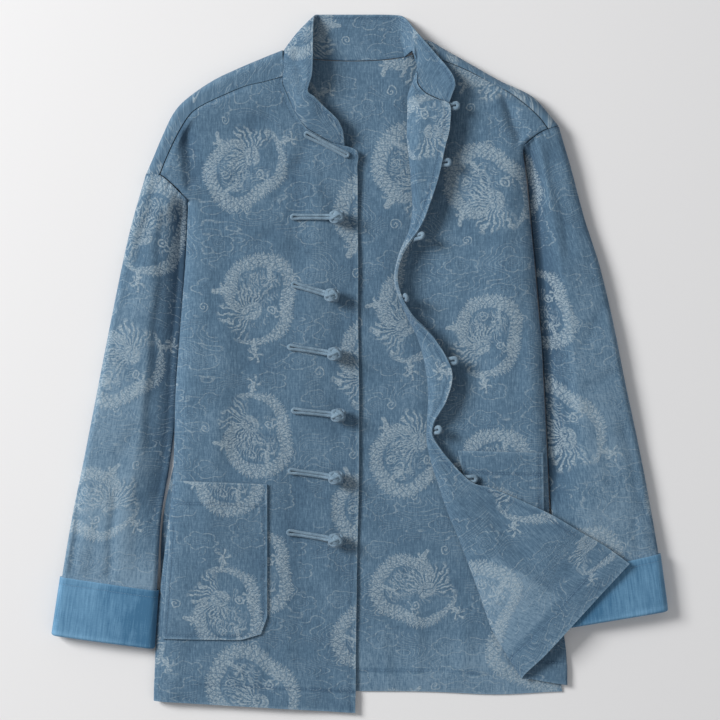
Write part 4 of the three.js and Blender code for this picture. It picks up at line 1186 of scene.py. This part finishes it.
CLOTH_START = {"right": (40.0, 120.0), "left": (20.0, 35.0)}    # on the woven repeat
PAINTED_SLEEVE_LIGHT = {"right": 0.65, "left": 0.45}   # painted light: how much paler a sleeve is painted towards its end


def ring_places(flat, turn):
    """Places round a pressed tube: share of the straight part, angle of the turn, and dome."""
    bottom = [(1 - t, 0, 0) for t in np.linspace(0, 1, flat + 1)]
    outer = [(0, t, 0) for t in np.linspace(0, 1, turn + 1)[1:]]
    top = [(t, 1, 4 * t * (1 - t)) for t in np.linspace(0, 1, flat + 2)[1:]]
    inner = [(1, 1 + t, 0) for t in np.linspace(0, 1, turn + 1)[1:-1]]
    return np.array(bottom + outer + top + inner)


RING = ring_places(34, 12)


def ring_of(side):
    """The places round a side's tube, in the order that keeps the cloth's face outwards."""
    return RING if side == "right" else RING[::-1]


def fall_beside_body(share, v):
    """0 to 1: how far the sleeve has dropped towards the surface, next to the body."""
    return rise(share, 0.62, 1.0) ** 1.4 * rise(v, 0.01, 0.08) * rise(1 - v, 0.12, 0.26)


def sleeve_ring(side, v):
    """The ring of the sleeve's middle surface at v, from the armhole (0) to the end (1)."""
    row = {key: float(value) for key, value in sleeve_rows[side](v).items()}
    share, angle, dome = ring_of(side).T
    wide = math.hypot(row["inX"] - row["outX"], row["inY"] - row["outY"])
    radius = row["high"] / 2
    along = (radius + share * (wide - 2 * radius) - np.sin(math.pi * angle) * radius) / wide
    z = row["base"] + radius * (1 - np.cos(math.pi * angle)) + dome
    fallen = fall_beside_body(share, v)
    z = mix(z, row["base"], FALL * fallen)
    seam = (right_armhole if side == "right" else left_armhole)(along)
    near = max(0, 1 - v / HEAD)
    shift_x, shift_y = SEAM_SHIFT[side]
    x = mix(mix(row["outX"], row["inX"], along), seam["x"] + shift_x, near)
    y = mix(mix(row["outY"], row["inY"], along), seam["y"] + shift_y, near)
    x = x + TUCK[side] * fallen
    height = (1 - np.cos(math.pi * angle)) / 2
    top = rise(height, 0.62, 0.92) * rise(v, 0.01, 0.06) * (1 - fallen)
    low = rise(height, 0.3, 0.1) * rise(v, 0.01, 0.06) * (1 - fallen)
    z = z - (pressed(SLEEVE_CREASES[side], x, y) + 0.8 * rumple(x, y)) * top
    z = z + pressed(UNDERSIDE_CREASES[side], x, y) * low
    return np.stack([x, y, z], -1)


def ring_normals(rings):
    """Normals of rings that close on themselves."""
    padded = np.concatenate([rings[:, -1:], rings, rings[:, :1]], axis=1)
    return normals_of(padded)[:, 1:-1]


def closed_ring(grid):
    return np.concatenate([grid, grid[:, :1]], axis=1)


def round_cloth(grid, start):
    """Places on the flat cloth of a tube: across from its outer fold, and down its length."""
    steps = np.linalg.norm(np.diff(grid, axis=1), axis=2)
    across = np.insert(np.cumsum(steps, axis=1), 0, 0, axis=1)
    fold = np.argmax(np.abs(grid[len(grid) // 2, :, 0]))
    across = across - across[:, fold:fold + 1]
    middle = grid.mean(axis=1)
    down = np.insert(np.cumsum(np.linalg.norm(np.diff(middle, axis=0), axis=1)), 0, 0)
    return np.stack([across + start[0], np.broadcast_to(start[1] - down[:, None], across.shape)], -1)


sleeve_rows = {side: track(table, SLEEVE_COLUMNS) for side, table in SLEEVES.items()}
SLEEVE_PLACES = np.linspace(0, 0.99, 176)
for side in SLEEVES:
    sleeve_grid = closed_ring(np.array([sleeve_ring(side, v) for v in SLEEVE_PLACES]))
    sleeve_head = from_edge(sleeve_grid, 0, last=False)
    waves = np.arange(sleeve_grid.shape[1]) * 2.2
    sleeve_grid[..., 2] -= np.maximum(0, pucker(sleeve_head, waves[None], 2, 0.5)) * (
        sleeve_grid[..., 2] > SHOULDER - 2)
    # Painted shade in the armhole seam, and a paler line 4.5 mm from it.
    sleeve_painted_light = 0.25 * sewn(sleeve_head, 4.5) - painted_seam_shade(sleeve_head)
    # Painted shade darkens the valley beside the body and the creases; painted light pales the end.
    fallen = np.array([fall_beside_body(ring_of(side)[:, 0], v) for v in SLEEVE_PLACES])
    sleeve_painted_light = sleeve_painted_light - 1.2 * closed_ring(fallen)
    sleeve_painted_light = sleeve_painted_light + PAINTED_SLEEVE_LIGHT[side] * rise(SLEEVE_PLACES, 0.1, 0.7)[:, None]
    sleeve_painted_light -= 0.16 * pressed(SLEEVE_CREASES[side], sleeve_grid[..., 0], sleeve_grid[..., 1])
    sleeve = lay_sheet(
        f"{side}_sleeve", sleeve_grid, round_cloth(sleeve_grid, CLOTH_START[side]),
        0.5, sleeve_painted_light, closed=True)
    cover(sleeve, f"sleeve_{side}", cloth_face, cloth_back)

# The cuffs
# Each cuff is the sleeve's end turned up once, in a plain brighter cotton with a faint vertical
# streak. It is a band outside the sleeve, round the sleeve's end and a little way inside it.
CUFF_ROWS = 1 / 9               # of the sleeve's length
CUFF_STITCHING = 7.0            # from its upper edge
FOLD_HIGHLIGHT = 2.5                 # the painted highlight along a cuff's fold is this many times as wide as a line of stitching
CUFF_DARK = (0.045, 0.150, 0.275)
CUFF_LIGHT = (0.165, 0.345, 0.525)


def plain_cotton(name, dark, light, strength):
    """Plain woven cotton with faint streaks down its length, on the piece's own cloth map."""
    made, tree, shader = new_material(name)
    x, y = cloth_places(tree)
    streaks, _ = noise(x * 0.8, y * 0.05, 1.6, 3.0, 0.7)
    picks, _ = noise(x * 0.2, y * 1.4, 1.1, 2.0, 0.6)
    tone, _ = noise(x, y, 26.0, 2.0)
    # The painted light and shade stored on the pieces' points is added to the streaks.
    streaks_and_painted_light = streaks * 0.9 + picks * 0.3 + tone * 0.5 + painted_light_on_points(tree) * 0.35 - 0.32
    dyed(shader, streaks_and_painted_light, (0.25, dark), (0.82, light))
    relief = (x * (math.tau / 0.9)).sine() * 0.2 + (y * (math.tau / 0.9)).sine() * 0.2 + streaks
    raise_threads(shader, relief, 0.16, strength)
    matt_finish(shader, tone * 0.12 + 0.66, 0.3, 0.2, spread=0.4, tint=(0.7, 0.88, 1.0))
    return made


cuff_cotton = plain_cotton("cuff cotton", CUFF_DARK, CUFF_LIGHT, 0.7)


def cuff_ring(side, v, offset, ahead=0.0):
    """The sleeve's ring at v moved out by offset, and ahead along the sleeve."""
    step = CUFF_ROWS / 8
    near = np.array([sleeve_ring(side, w) for w in (v - step, v, v + step)])
    along = sleeve_ring(side, 1) - sleeve_ring(side, 1 - CUFF_ROWS)
    along /= np.linalg.norm(along, axis=1, keepdims=True)
    return near[1] + ring_normals(near)[1] * offset + along * ahead


for side in SLEEVES:
    end = 1 - CUFF_ROWS * 0.02
    band = [cuff_ring(side, 1 - CUFF_ROWS * t, CUFF_OUT) for t in np.linspace(1, 0.03, 30)]
    fold = [
        cuff_ring(side, end, CUFF_OUT * math.cos(angle), CUFF_OUT * math.sin(angle))
        for angle in np.linspace(0, math.pi, 9)]
    inside = [cuff_ring(side, 1 - CUFF_ROWS * t, -CUFF_OUT) for t in (0.06, 0.1, 0.15, 0.2)]
    cuff_grid = closed_ring(np.array(band + fold + inside))
    cuff_top = from_edge(cuff_grid, 0, last=False)
    cuff_seam = sewn(cuff_top, CUFF_STITCHING)
    cuff_layers = 0.54 + 0.1 * rise(cuff_top, CUFF_STITCHING + 2, CUFF_STITCHING) - 0.2 * cuff_seam
    # Painted light and shade: a highlight on the upper edge, painted shade in the stitching, and
    # painted shade darkening the cuff towards its inner side, beside the body.
    cuff_painted_light = 0.5 * rise(cuff_top, 2, 0) - 0.3 * cuff_seam
    cuff_painted_light = cuff_painted_light - 0.9 * closed_ring(rise(ring_of(side)[:, 0], 0.35, 1.0)[None])
    # A painted highlight along the fold.
    cuff_length = from_edge(cuff_grid[:len(band) + 1], 0)[0].mean()
    cuff_painted_light = cuff_painted_light + 0.5 * sewn(cuff_top / FOLD_HIGHLIGHT, cuff_length / FOLD_HIGHLIGHT)
    cuff = lay_sheet(
        f"{side}_cuff", cuff_grid, round_cloth(cuff_grid, (0, 0)), cuff_layers, cuff_painted_light,
        closed=True)
    cover(cuff, f"cuff_{side}", cuff_cotton, cuff_cotton)
    cuff_normals = normals_of(cuff_grid)
    sew(f"{side}_cuff_stitches", [
        seam_path(cuff_grid, cuff_normals, *crossings(cuff_top, CUFF_STITCHING, 0))], 0.72)

# The collar
# A stand collar of two layers of jacquard with stiffening between them, sewn round the neck.
# It stands at the fronts and lies back flat behind the neck. Its upper edge is topstitched.
COLLAR_WALL = 2.2
COLLAR_GAP = 0.9                # from the neck's edge to the collar's, across the seam
COLLAR_BULGE = 1.6              # of its middle, outwards
COLLAR_STITCHING = 4.0          # from its edges
COLLAR = [                      # piece, place along it, the upper edge's x, y, z, and lift
    ("right", 5.5, -17.5, 243, 15, 0),
    ("right", 5, -24, 255, 17, 0),
    ("right", 4, -38, 268, 19, 0),
    ("right", 3, -47, 277, 21, 0),
    ("right", 2, -54.5, 284, 22, 0),
    ("right", 1, -50, 300, 23, 0),
    ("right", 0.2, -49, 322, 22, 0),
    ("back", 1, -49, 340, 19, 0),
    ("back", 1.02, -48.5, 356, 14, 0),
    ("back", 1.04, -47.5, 363, 8, 0),
    ("back", 1.06, -45, 365.5, 3, 0),
    ("back", 1.1, -40, 366, 1.1, 0),
    ("back", 1.28, -24, 366, 1.1, 0),
    ("back", 1.5, 0, 366, 1.1, 0),
    ("back", 1.72, 22, 366, 1.1, 0),
    ("back", 1.9, 38, 365.5, 1.1, 0),
    ("back", 1.94, 44, 364, 4, 0),
    ("back", 1.96, 49, 359, 9, 2),
    ("back", 1.98, 54, 352, 14, 3),
    ("back", 2, 62, 342, 18.5, 2.6),
    ("left", 0.2, 71, 331, 21.5, 2.2),
    ("left", 1, 80, 320, 24.5, 0.8),
    ("left", 2, 90, 308, 27.5, 0),
    ("left", 3, 97, 297, 29.5, 0),
    ("left", 3.9, 99, 288, 30, 0),
]
COLLAR_CREASES = [
    (-66, 320, -60, 286, 5, 1.2),
    (-50, 284, -40, 262, 5, 0.7),
    (74, 330, 84, 300, 5, -0.8),
]


def neckline(on, at):
    """A point of the neck's edge: on the right front, the back or the left front."""
    if on == "back":
        return back_column(at)[0][0]
    if on == "right":
        return right_front([1], [at / (len(RIGHT_FRONT) - 1)])[0, 0]
    return left_front([1], [at / (len(LEFT_FRONT) - 1)])[0, 0]


collar_rows = []
for on, at, top_x, top_y, top_z, lift in COLLAR:
    seam = neckline(on, at)
    seam[2] = max(seam[2], COLLAR_WALL / 2) + lift
    top = np.array([top_x, top_y, top_z], float)
    seam = seam + (top - seam) / np.linalg.norm(top - seam) * COLLAR_GAP
    collar_rows.append((*seam, *top))
collar_curves = track(collar_rows, ("x0", "y0", "z0", "x1", "y1", "z1"))(np.linspace(0, 1, 230))
collar_foot = np.stack([collar_curves[key] for key in ("x0", "y0", "z0")], -1)
collar_top = np.stack([collar_curves[key] for key in ("x1", "y1", "z1")], -1)
COLLAR_HEIGHTS = np.linspace(1, 0, 26)
collar_grid = np.array([mix(collar_foot, collar_top, t) for t in COLLAR_HEIGHTS]).transpose(1, 0, 2)
collar_side = normals_of(collar_grid)
collar_out = COLLAR_BULGE * np.sin(math.pi * COLLAR_HEIGHTS)[None] - pressed(
    COLLAR_CREASES, collar_grid[..., 0], collar_grid[..., 1])
collar_along = from_edge(collar_grid, 0)
collar_ends = np.minimum(collar_along, from_edge(collar_grid, 0, last=False))
lying = rise(collar_grid[..., 2], 1.2, 8)
collar_grid += collar_side * (collar_out * rise(collar_ends, 0, 25) * lying)[..., None]
collar_up = from_edge(collar_grid, 1, last=False)
collar_grid[..., 2] += pucker(collar_up, collar_along, COLLAR_STITCHING, 0.12) * lying
collar_edge = np.minimum(collar_up, collar_ends)
collar_seam = sewn(collar_edge, COLLAR_STITCHING)
collar_layers = COLLAR_WALL / (2 * WALL) - 0.2 * collar_seam - 0.25 * rise(collar_edge, 1.2, 0)
# Painted light and shade: a highlight on the edges, painted shade in the stitching and at the neck
# seam.
collar_painted_light = 0.55 * rise(collar_edge, 2, 0.3) - 0.75 * collar_seam
collar_painted_light = collar_painted_light - painted_seam_shade(from_edge(collar_grid, 1))
COLLAR_SHIFT = (-10, 20)
collar_cloth = np.stack([collar_along + COLLAR_SHIFT[0], COLLAR_SHIFT[1] - collar_up], -1)
collar = lay_sheet("stand_collar", collar_grid, collar_cloth, collar_layers, collar_painted_light)
cover(collar, "collar", cloth_face, cloth_back)
collar_normals = normals_of(collar_grid)
collar_line = crossings(collar_up, COLLAR_STITCHING, 1)
sew("collar_stitches", [
    seam_path(collar_grid, collar_normals, *collar_line),
    seam_path(collar_grid, -collar_normals, *collar_line),
], 0.92)

# The pockets
# Two patch pockets of the same jacquard, laid on the fronts. The top is a wide stitched hem, the
# sides and bottom are turned in and topstitched, and the inner lower corner is rounded.
POCKET_WALL = 0.5               # as a share of two layers
POCKET_OUT = 2.2                # its middle surface, out from the front's
POCKET_HEM = 23.0
POCKET_CORNER = 22.0
CORNER_ROW = 0.85
CORNER_COLUMN = 0.75
CORNER_CUT = 0.3
POCKET_STITCHING = 4.0


def place_on(grid, x, y):
    """Fractional rows and columns of a grid at plan positions x, y."""
    tree = KDTree(grid.shape[0] * grid.shape[1])
    for index, (near_x, near_y) in enumerate(grid[..., :2].reshape(-1, 2)):
        tree.insert((near_x, near_y, 0), index)
    tree.balance()
    rows = np.empty(x.shape)
    columns = np.empty(x.shape)
    for spot in np.ndindex(x.shape):
        index = tree.find((x[spot], y[spot], 0))[1]
        rows[spot], columns[spot] = divmod(index, grid.shape[1])
    for _ in range(4):
        here = sample(grid, rows, columns)
        by_row = sample(grid, rows + 0.5, columns) - sample(grid, rows - 0.5, columns)
        by_column = sample(grid, rows, columns + 0.5) - sample(grid, rows, columns - 0.5)
        miss_x = x - here[..., 0]
        miss_y = y - here[..., 1]
        whole = by_row[..., 0] * by_column[..., 1] - by_row[..., 1] * by_column[..., 0]
        whole = np.where(np.abs(whole) < 1e-6, 1e-6, whole)
        rows = rows + np.clip((miss_x * by_column[..., 1] - miss_y * by_column[..., 0]) / whole, -1, 1)
        columns = columns + np.clip((by_row[..., 0] * miss_y - by_row[..., 1] * miss_x) / whole, -1, 1)
    return rows, columns


POCKETS = {                     # outer top, inner top, inner bottom and outer bottom corner
    "right": (right_grid, [(-193, -122), (-97, -126), (-97, -289), (-206, -287)]),
    "left": (left_grid[:, left_roll + 4:], [(190, -93), (102, -91), (134, -222), (193, -222)]),
}
POCKET_SHIFT = {"right": RIGHT_SHIFT + (30, 40), "left": LEFT_SHIFT + (10, 60)}
for side, (panel, corners) in POCKETS.items():
    outer_top, inner_top, inner_end, outer_end = corners
    across, down = np.meshgrid(np.linspace(0, 1, 56), np.linspace(0, 1, 84))
    low = rise(down, CORNER_ROW, 1)
    cut = CORNER_CUT * POCKET_CORNER * low * rise(across, CORNER_COLUMN, 1)
    x = mix(mix(outer_top[0], inner_top[0], across), mix(outer_end[0], inner_end[0], across), down)
    y = mix(mix(outer_top[1], inner_top[1], across), mix(outer_end[1], inner_end[1], across), down)
    x = x + math.copysign(1, outer_top[0] - inner_top[0]) * cut
    y = y + cut
    rows, columns = place_on(panel, x, y)
    sides = sample(normals_of(panel), rows, columns)
    sides *= np.where(sides[..., 2:] < 0, -1, 1)
    pocket_grid = sample(panel, rows, columns) + sides * POCKET_OUT
    if side == "left":
        pocket_grid = pocket_grid[:, ::-1]
    top = from_edge(pocket_grid, 0, last=False)
    border = np.minimum.reduce([
        from_edge(pocket_grid, 0), from_edge(pocket_grid, 1), from_edge(pocket_grid, 1, last=False)])
    pocket_grid[..., 2] += 0.7 * np.exp(-((top / 9) ** 2)) * rise(border, 2, 30)
    pocket_grid[..., 2] += pucker(border, top + pocket_grid[..., 0], POCKET_STITCHING, 0.12)
    pocket_grid[..., 2] += pucker(top, pocket_grid[..., 0], POCKET_HEM, 0.14)
    layers = POCKET_WALL + 0.16 * rise(top, POCKET_HEM + 1.5, POCKET_HEM) + 0.12 * rise(border, 10, 8)
    top_seam = sewn(top, POCKET_HEM)
    border_seam = sewn(border, POCKET_STITCHING)
    layers = layers - 0.24 * top_seam - 0.22 * border_seam
    edge = np.minimum(border, top)
    # Painted light and shade: a highlight on the edges and painted shade in the lines of stitching.
    painted_light_shade_and_tone = 0.6 * rise(edge, 2.2, 0.4) - 0.8 * top_seam - 0.55 * border_seam * rise(top, 1, 3)
    pocket_cloth = pocket_grid[..., :2] + POCKET_SHIFT[side]
    pocket = lay_sheet(f"{side}_pocket", pocket_grid, pocket_cloth, layers, painted_light_shade_and_tone)
    cover(pocket, f"pocket_{side}", cloth_face, cloth_back)
    0.0165 if side == "right" else 0.0105
    pocket_normals = normals_of(pocket_grid)
    lines = [
        crossings(top, POCKET_HEM, 0),
        crossings(from_edge(pocket_grid, 1, last=False), POCKET_STITCHING, 1),
        crossings(from_edge(pocket_grid, 1), POCKET_STITCHING, 1),
        crossings(from_edge(pocket_grid, 0), POCKET_STITCHING, 0),
    ]
    paths = [seam_path(pocket_grid, pocket_normals, *line) for line in lines]
    sew(f"{side}_pocket_stitches", paths, 0.78)

# The frogs
# Each frog on the right front is one length of rolled cord, doubled and sewn down side by side,
# with a bend at its far end. Near the edge it rises into a knot button that is woven from it.
CORD = 1.7                      # radius
CORD_SLANT = 0.7                # of its fibres over a rounded side
CORD_DARK = (0.080, 0.148, 0.222)
CORD_LIGHT = (0.320, 0.450, 0.550)
KNOT = 8.9                      # radius of a knot button, over its cords
KNOT_CORD = 1.95                # radius of the cord in the knot, which is looser there
KNOT_LEADS = 3                  # times the cord goes round the knot
KNOT_BIGHTS = 5                 # bends along each rim of the knot
KNOT_RIM = math.radians(61)     # how far those rims are from its middle
KNOT_LEAN = 0.5                 # turn of the knot about its strap, in radians
KNOT_WEAVE = 0.75               # how far the cord goes over and under itself
FROGS = [                       # the bend's x, y and the knot's (or, on the first, the end's) x, y
    (-57, 240, -12, 217),
    (-71.5, 153, -24, 153),
    (-70.5, 83, -29, 71),
    (-74.5, 17.5, -26, 10),
    (-70.5, -49, -22.5, -54),
    (-74, -112, -25, -119),
    (-75.5, -176, -25, -184),
]
# Stations of a frog's cord: share of the way back from the knot, half the space between the
# two cords, and height of their centres over the front's face
STRAP = [
    (0.10, 1.2, 7.0), (0.17, 1.5, 5.0), (0.25, 1.6, 2.7), (0.4, 1.55, 1.8), (0.6, 1.5, 1.75),
    (0.8, 1.6, 1.75), (0.91, 2.0, 1.9), (0.97, 1.8, 1.9), (1.0, 0.0, 1.9),
]
PLAIN_STRAP = [
    (0.0, 0.0, 1.75), (0.03, 1.7, 1.75), (0.1, 1.7, 1.75), (0.4, 1.5, 1.75), (0.6, 1.5, 1.75),
    (0.9, 2.1, 1.75), (0.98, 1.7, 1.75), (1.0, 0.0, 1.75),
]


def cord_cloth():
    """The jacket's plain blue cotton, rolled: fine slanting ribs and uneven dye."""
    made, tree, shader = new_material("rolled cord cotton")
    place = tree.nodes.new("ShaderNodeTexCoord")
    x, y, z = split(tree, place.outputs["Object"])
    x = x * PER_METRE
    y = y * PER_METRE + z * (CORD_SLANT * PER_METRE)
    fibre, _ = noise(x, y, 1.1, 3.0, 0.7)
    tone, _ = noise(x, y, 6.0, 2.0)
    dyed(shader, fibre * 0.6 + tone * 0.4, (0.28, CORD_DARK), (0.78, CORD_LIGHT))
    relief = ((x * 0.8 + y) * (math.tau / 0.8)).sine() * 0.4 + fibre
    raise_threads(shader, relief, 0.2, 0.9)
    matt_finish(shader, tone * 0.1 + 0.82, 0.2, 0.2)
    return made


rolled_cord = cord_cloth()


def lay_cord(name, path, radius, closed=False):
    """A round cord along points in mm, made as a bevelled curve and turned into a mesh."""
    curve = bpy.data.curves.new(name, "CURVE")
    curve.dimensions = "3D"
    curve.bevel_depth = radius * MM
    curve.bevel_resolution = 3
    curve.use_fill_caps = not closed
    spline = curve.splines.new("POLY")
    spline.points.add(len(path) - 1)
    for spot, (x, y, z) in zip(spline.points, path):
        spot.co = (x * MM, y * MM, z * MM, 1)
    spline.use_cyclic_u = closed
    cord = bpy.data.objects.new(name, curve)
    bpy.context.collection.objects.link(cord)
    pick(cord)
    bpy.ops.object.convert(target="MESH")
    bpy.ops.object.shade_smooth()
    return bpy.context.object


def knot_path(centre, ahead):
    """The cord's way over and under itself round the knot, which points ahead."""
    s = np.linspace(0, math.tau, 145)[:-1]
    longitude = KNOT_LEADS * s
    latitude = KNOT_RIM * np.cos(KNOT_BIGHTS * s)
    lift = KNOT_WEAVE * np.cos((KNOT_LEADS - 1) * KNOT_BIGHTS * s + 0.6)
    radius = KNOT - KNOT_CORD - 0.7 + lift
    beside = np.array([-ahead[1], ahead[0], 0])
    up = np.array([0, 0, 1.0])
    tilted = beside * math.cos(KNOT_LEAN) + up * math.sin(KNOT_LEAN)
    third = np.cross(ahead, tilted)
    flat = np.cos(latitude) * radius
    return centre + (
        np.outer(np.sin(latitude) * radius, ahead)
        + np.outer(flat * np.cos(longitude), tilted) + np.outer(flat * np.sin(longitude), third))


def join(pieces, name):
    """One mesh of the first piece and the others."""
    pick(pieces[0])
    for piece in pieces[1:]:
        piece.select_set(True)
    bpy.ops.object.join()
    pieces[0].name = name
    return pieces[0]


for number, (bend_x, bend_y, end_x, end_y) in enumerate(FROGS):
    knotted = number > 0
    end = np.array([end_x, end_y, 0.0])
    far = np.array([bend_x, bend_y, 0.0]) - end
    long = np.linalg.norm(far)
    back_way = far / long
    beside = np.array([-back_way[1], back_way[0], 0])
    stations = STRAP if knotted else PLAIN_STRAP
    there = [(share, half, high) for share, half, high in stations]
    back_again = [(share, -half, high) for share, half, high in reversed(stations[:-1])]
    route = np.array([
        end + back_way * long * share + beside * half for share, half, _ in there + back_again])
    heights = np.array([high for _, _, high in there + back_again])
    rows, columns = place_on(right_grid, route[:, 0], route[:, 1])
    route[:, 2] = sample(right_grid, rows, columns)[:, 2] + 0.7 + heights
    path = smooth(route, np.linspace(0, 1, 76))
    pieces = [lay_cord(f"frog_{number}", path, CORD)]
    if knotted:
        row, column = place_on(right_grid, end[:1], end[1:2])
        base = sample(right_grid, row, column)[0, 2] + 0.7
        centre = np.array([end_x, end_y, base + KNOT + 0.4])
        pieces.append(lay_cord(f"knot_{number}", knot_path(centre, -back_way), KNOT_CORD, closed=True))
        bpy.ops.object.select_all(action="DESELECT")
        bpy.ops.mesh.primitive_ico_sphere_add(
            subdivisions=3, radius=(KNOT - 1.1 * KNOT_CORD) * MM, location=centre * MM)
        bpy.ops.object.transform_apply(location=True, rotation=True, scale=True)
        bpy.ops.object.shade_smooth()
        pieces.append(bpy.context.object)
    frog = join(pieces, f"frog_{number}")
    cover(frog, f"frog_button_{number}", rolled_cord, rolled_cord)

# The loops
# Seven loops of the same rolled cord along the left front's edge, their ends held on its outer
# face. With the edge rolled outwards they stand free of it, bent a little out of line.
LOOP_CORD = 2.15                # radius of a loop's cord, fuller than a frog's
LOOP_REACH = 10.0               # past the front's edge
LOOP_HELD = 6.0                 # sewn down within the edge
LOOP_WIDTH = 5.6                # between its two sides
LOOP_BEND = 3.5                 # length of the bend at its end
LOOP_TAPER = 0.9                # share of its width where the bend begins
LOOP_PINCH = 0.8                # its two sides come close together at the edge
LOOP_OUT = 0.75 + 0.3 + LOOP_CORD   # half the wall, a little air and half the cord
LOOPS = [                       # row of the left front, more space beside a bend of the edge
    (4.1, 0.4), (7.6, 0.4), (10.3, 0.4), (12.55, 0.7), (14.7, 0.4), (17.35, 0.85), (19, 0.4),
]
for number, (at, clear) in enumerate(LOOPS):
    v = at / (len(LEFT_FRONT) - 1)
    above, edge, below = left_front([1], [v - 0.004, v, v + 0.004])[:, 0]
    ahead = edge - left_front([0.985], [v])[0, 0]
    ahead /= np.linalg.norm(ahead)
    out = np.cross(ahead, below - above)
    out /= np.linalg.norm(out)
    beside = np.cross(out, ahead)
    half = LOOP_WIDTH / 2
    spots = [
        (-LOOP_HELD, -half), (0, -half * LOOP_PINCH),
        (LOOP_REACH - LOOP_BEND, -half * LOOP_TAPER),
        (LOOP_REACH - LOOP_CORD, 0),
        (LOOP_REACH - LOOP_BEND, half * LOOP_TAPER),
        (0, half * LOOP_PINCH), (-LOOP_HELD, half),
    ]
    route = [
        edge + ahead * forward + beside * sideways + out * (LOOP_OUT + clear)
        for forward, sideways in spots]
    loop = lay_cord(f"loop_{number}", smooth(route, np.linspace(0, 1, 40)), LOOP_CORD)
    cover(loop, f"frog_loop_{number}", rolled_cord, rolled_cord)
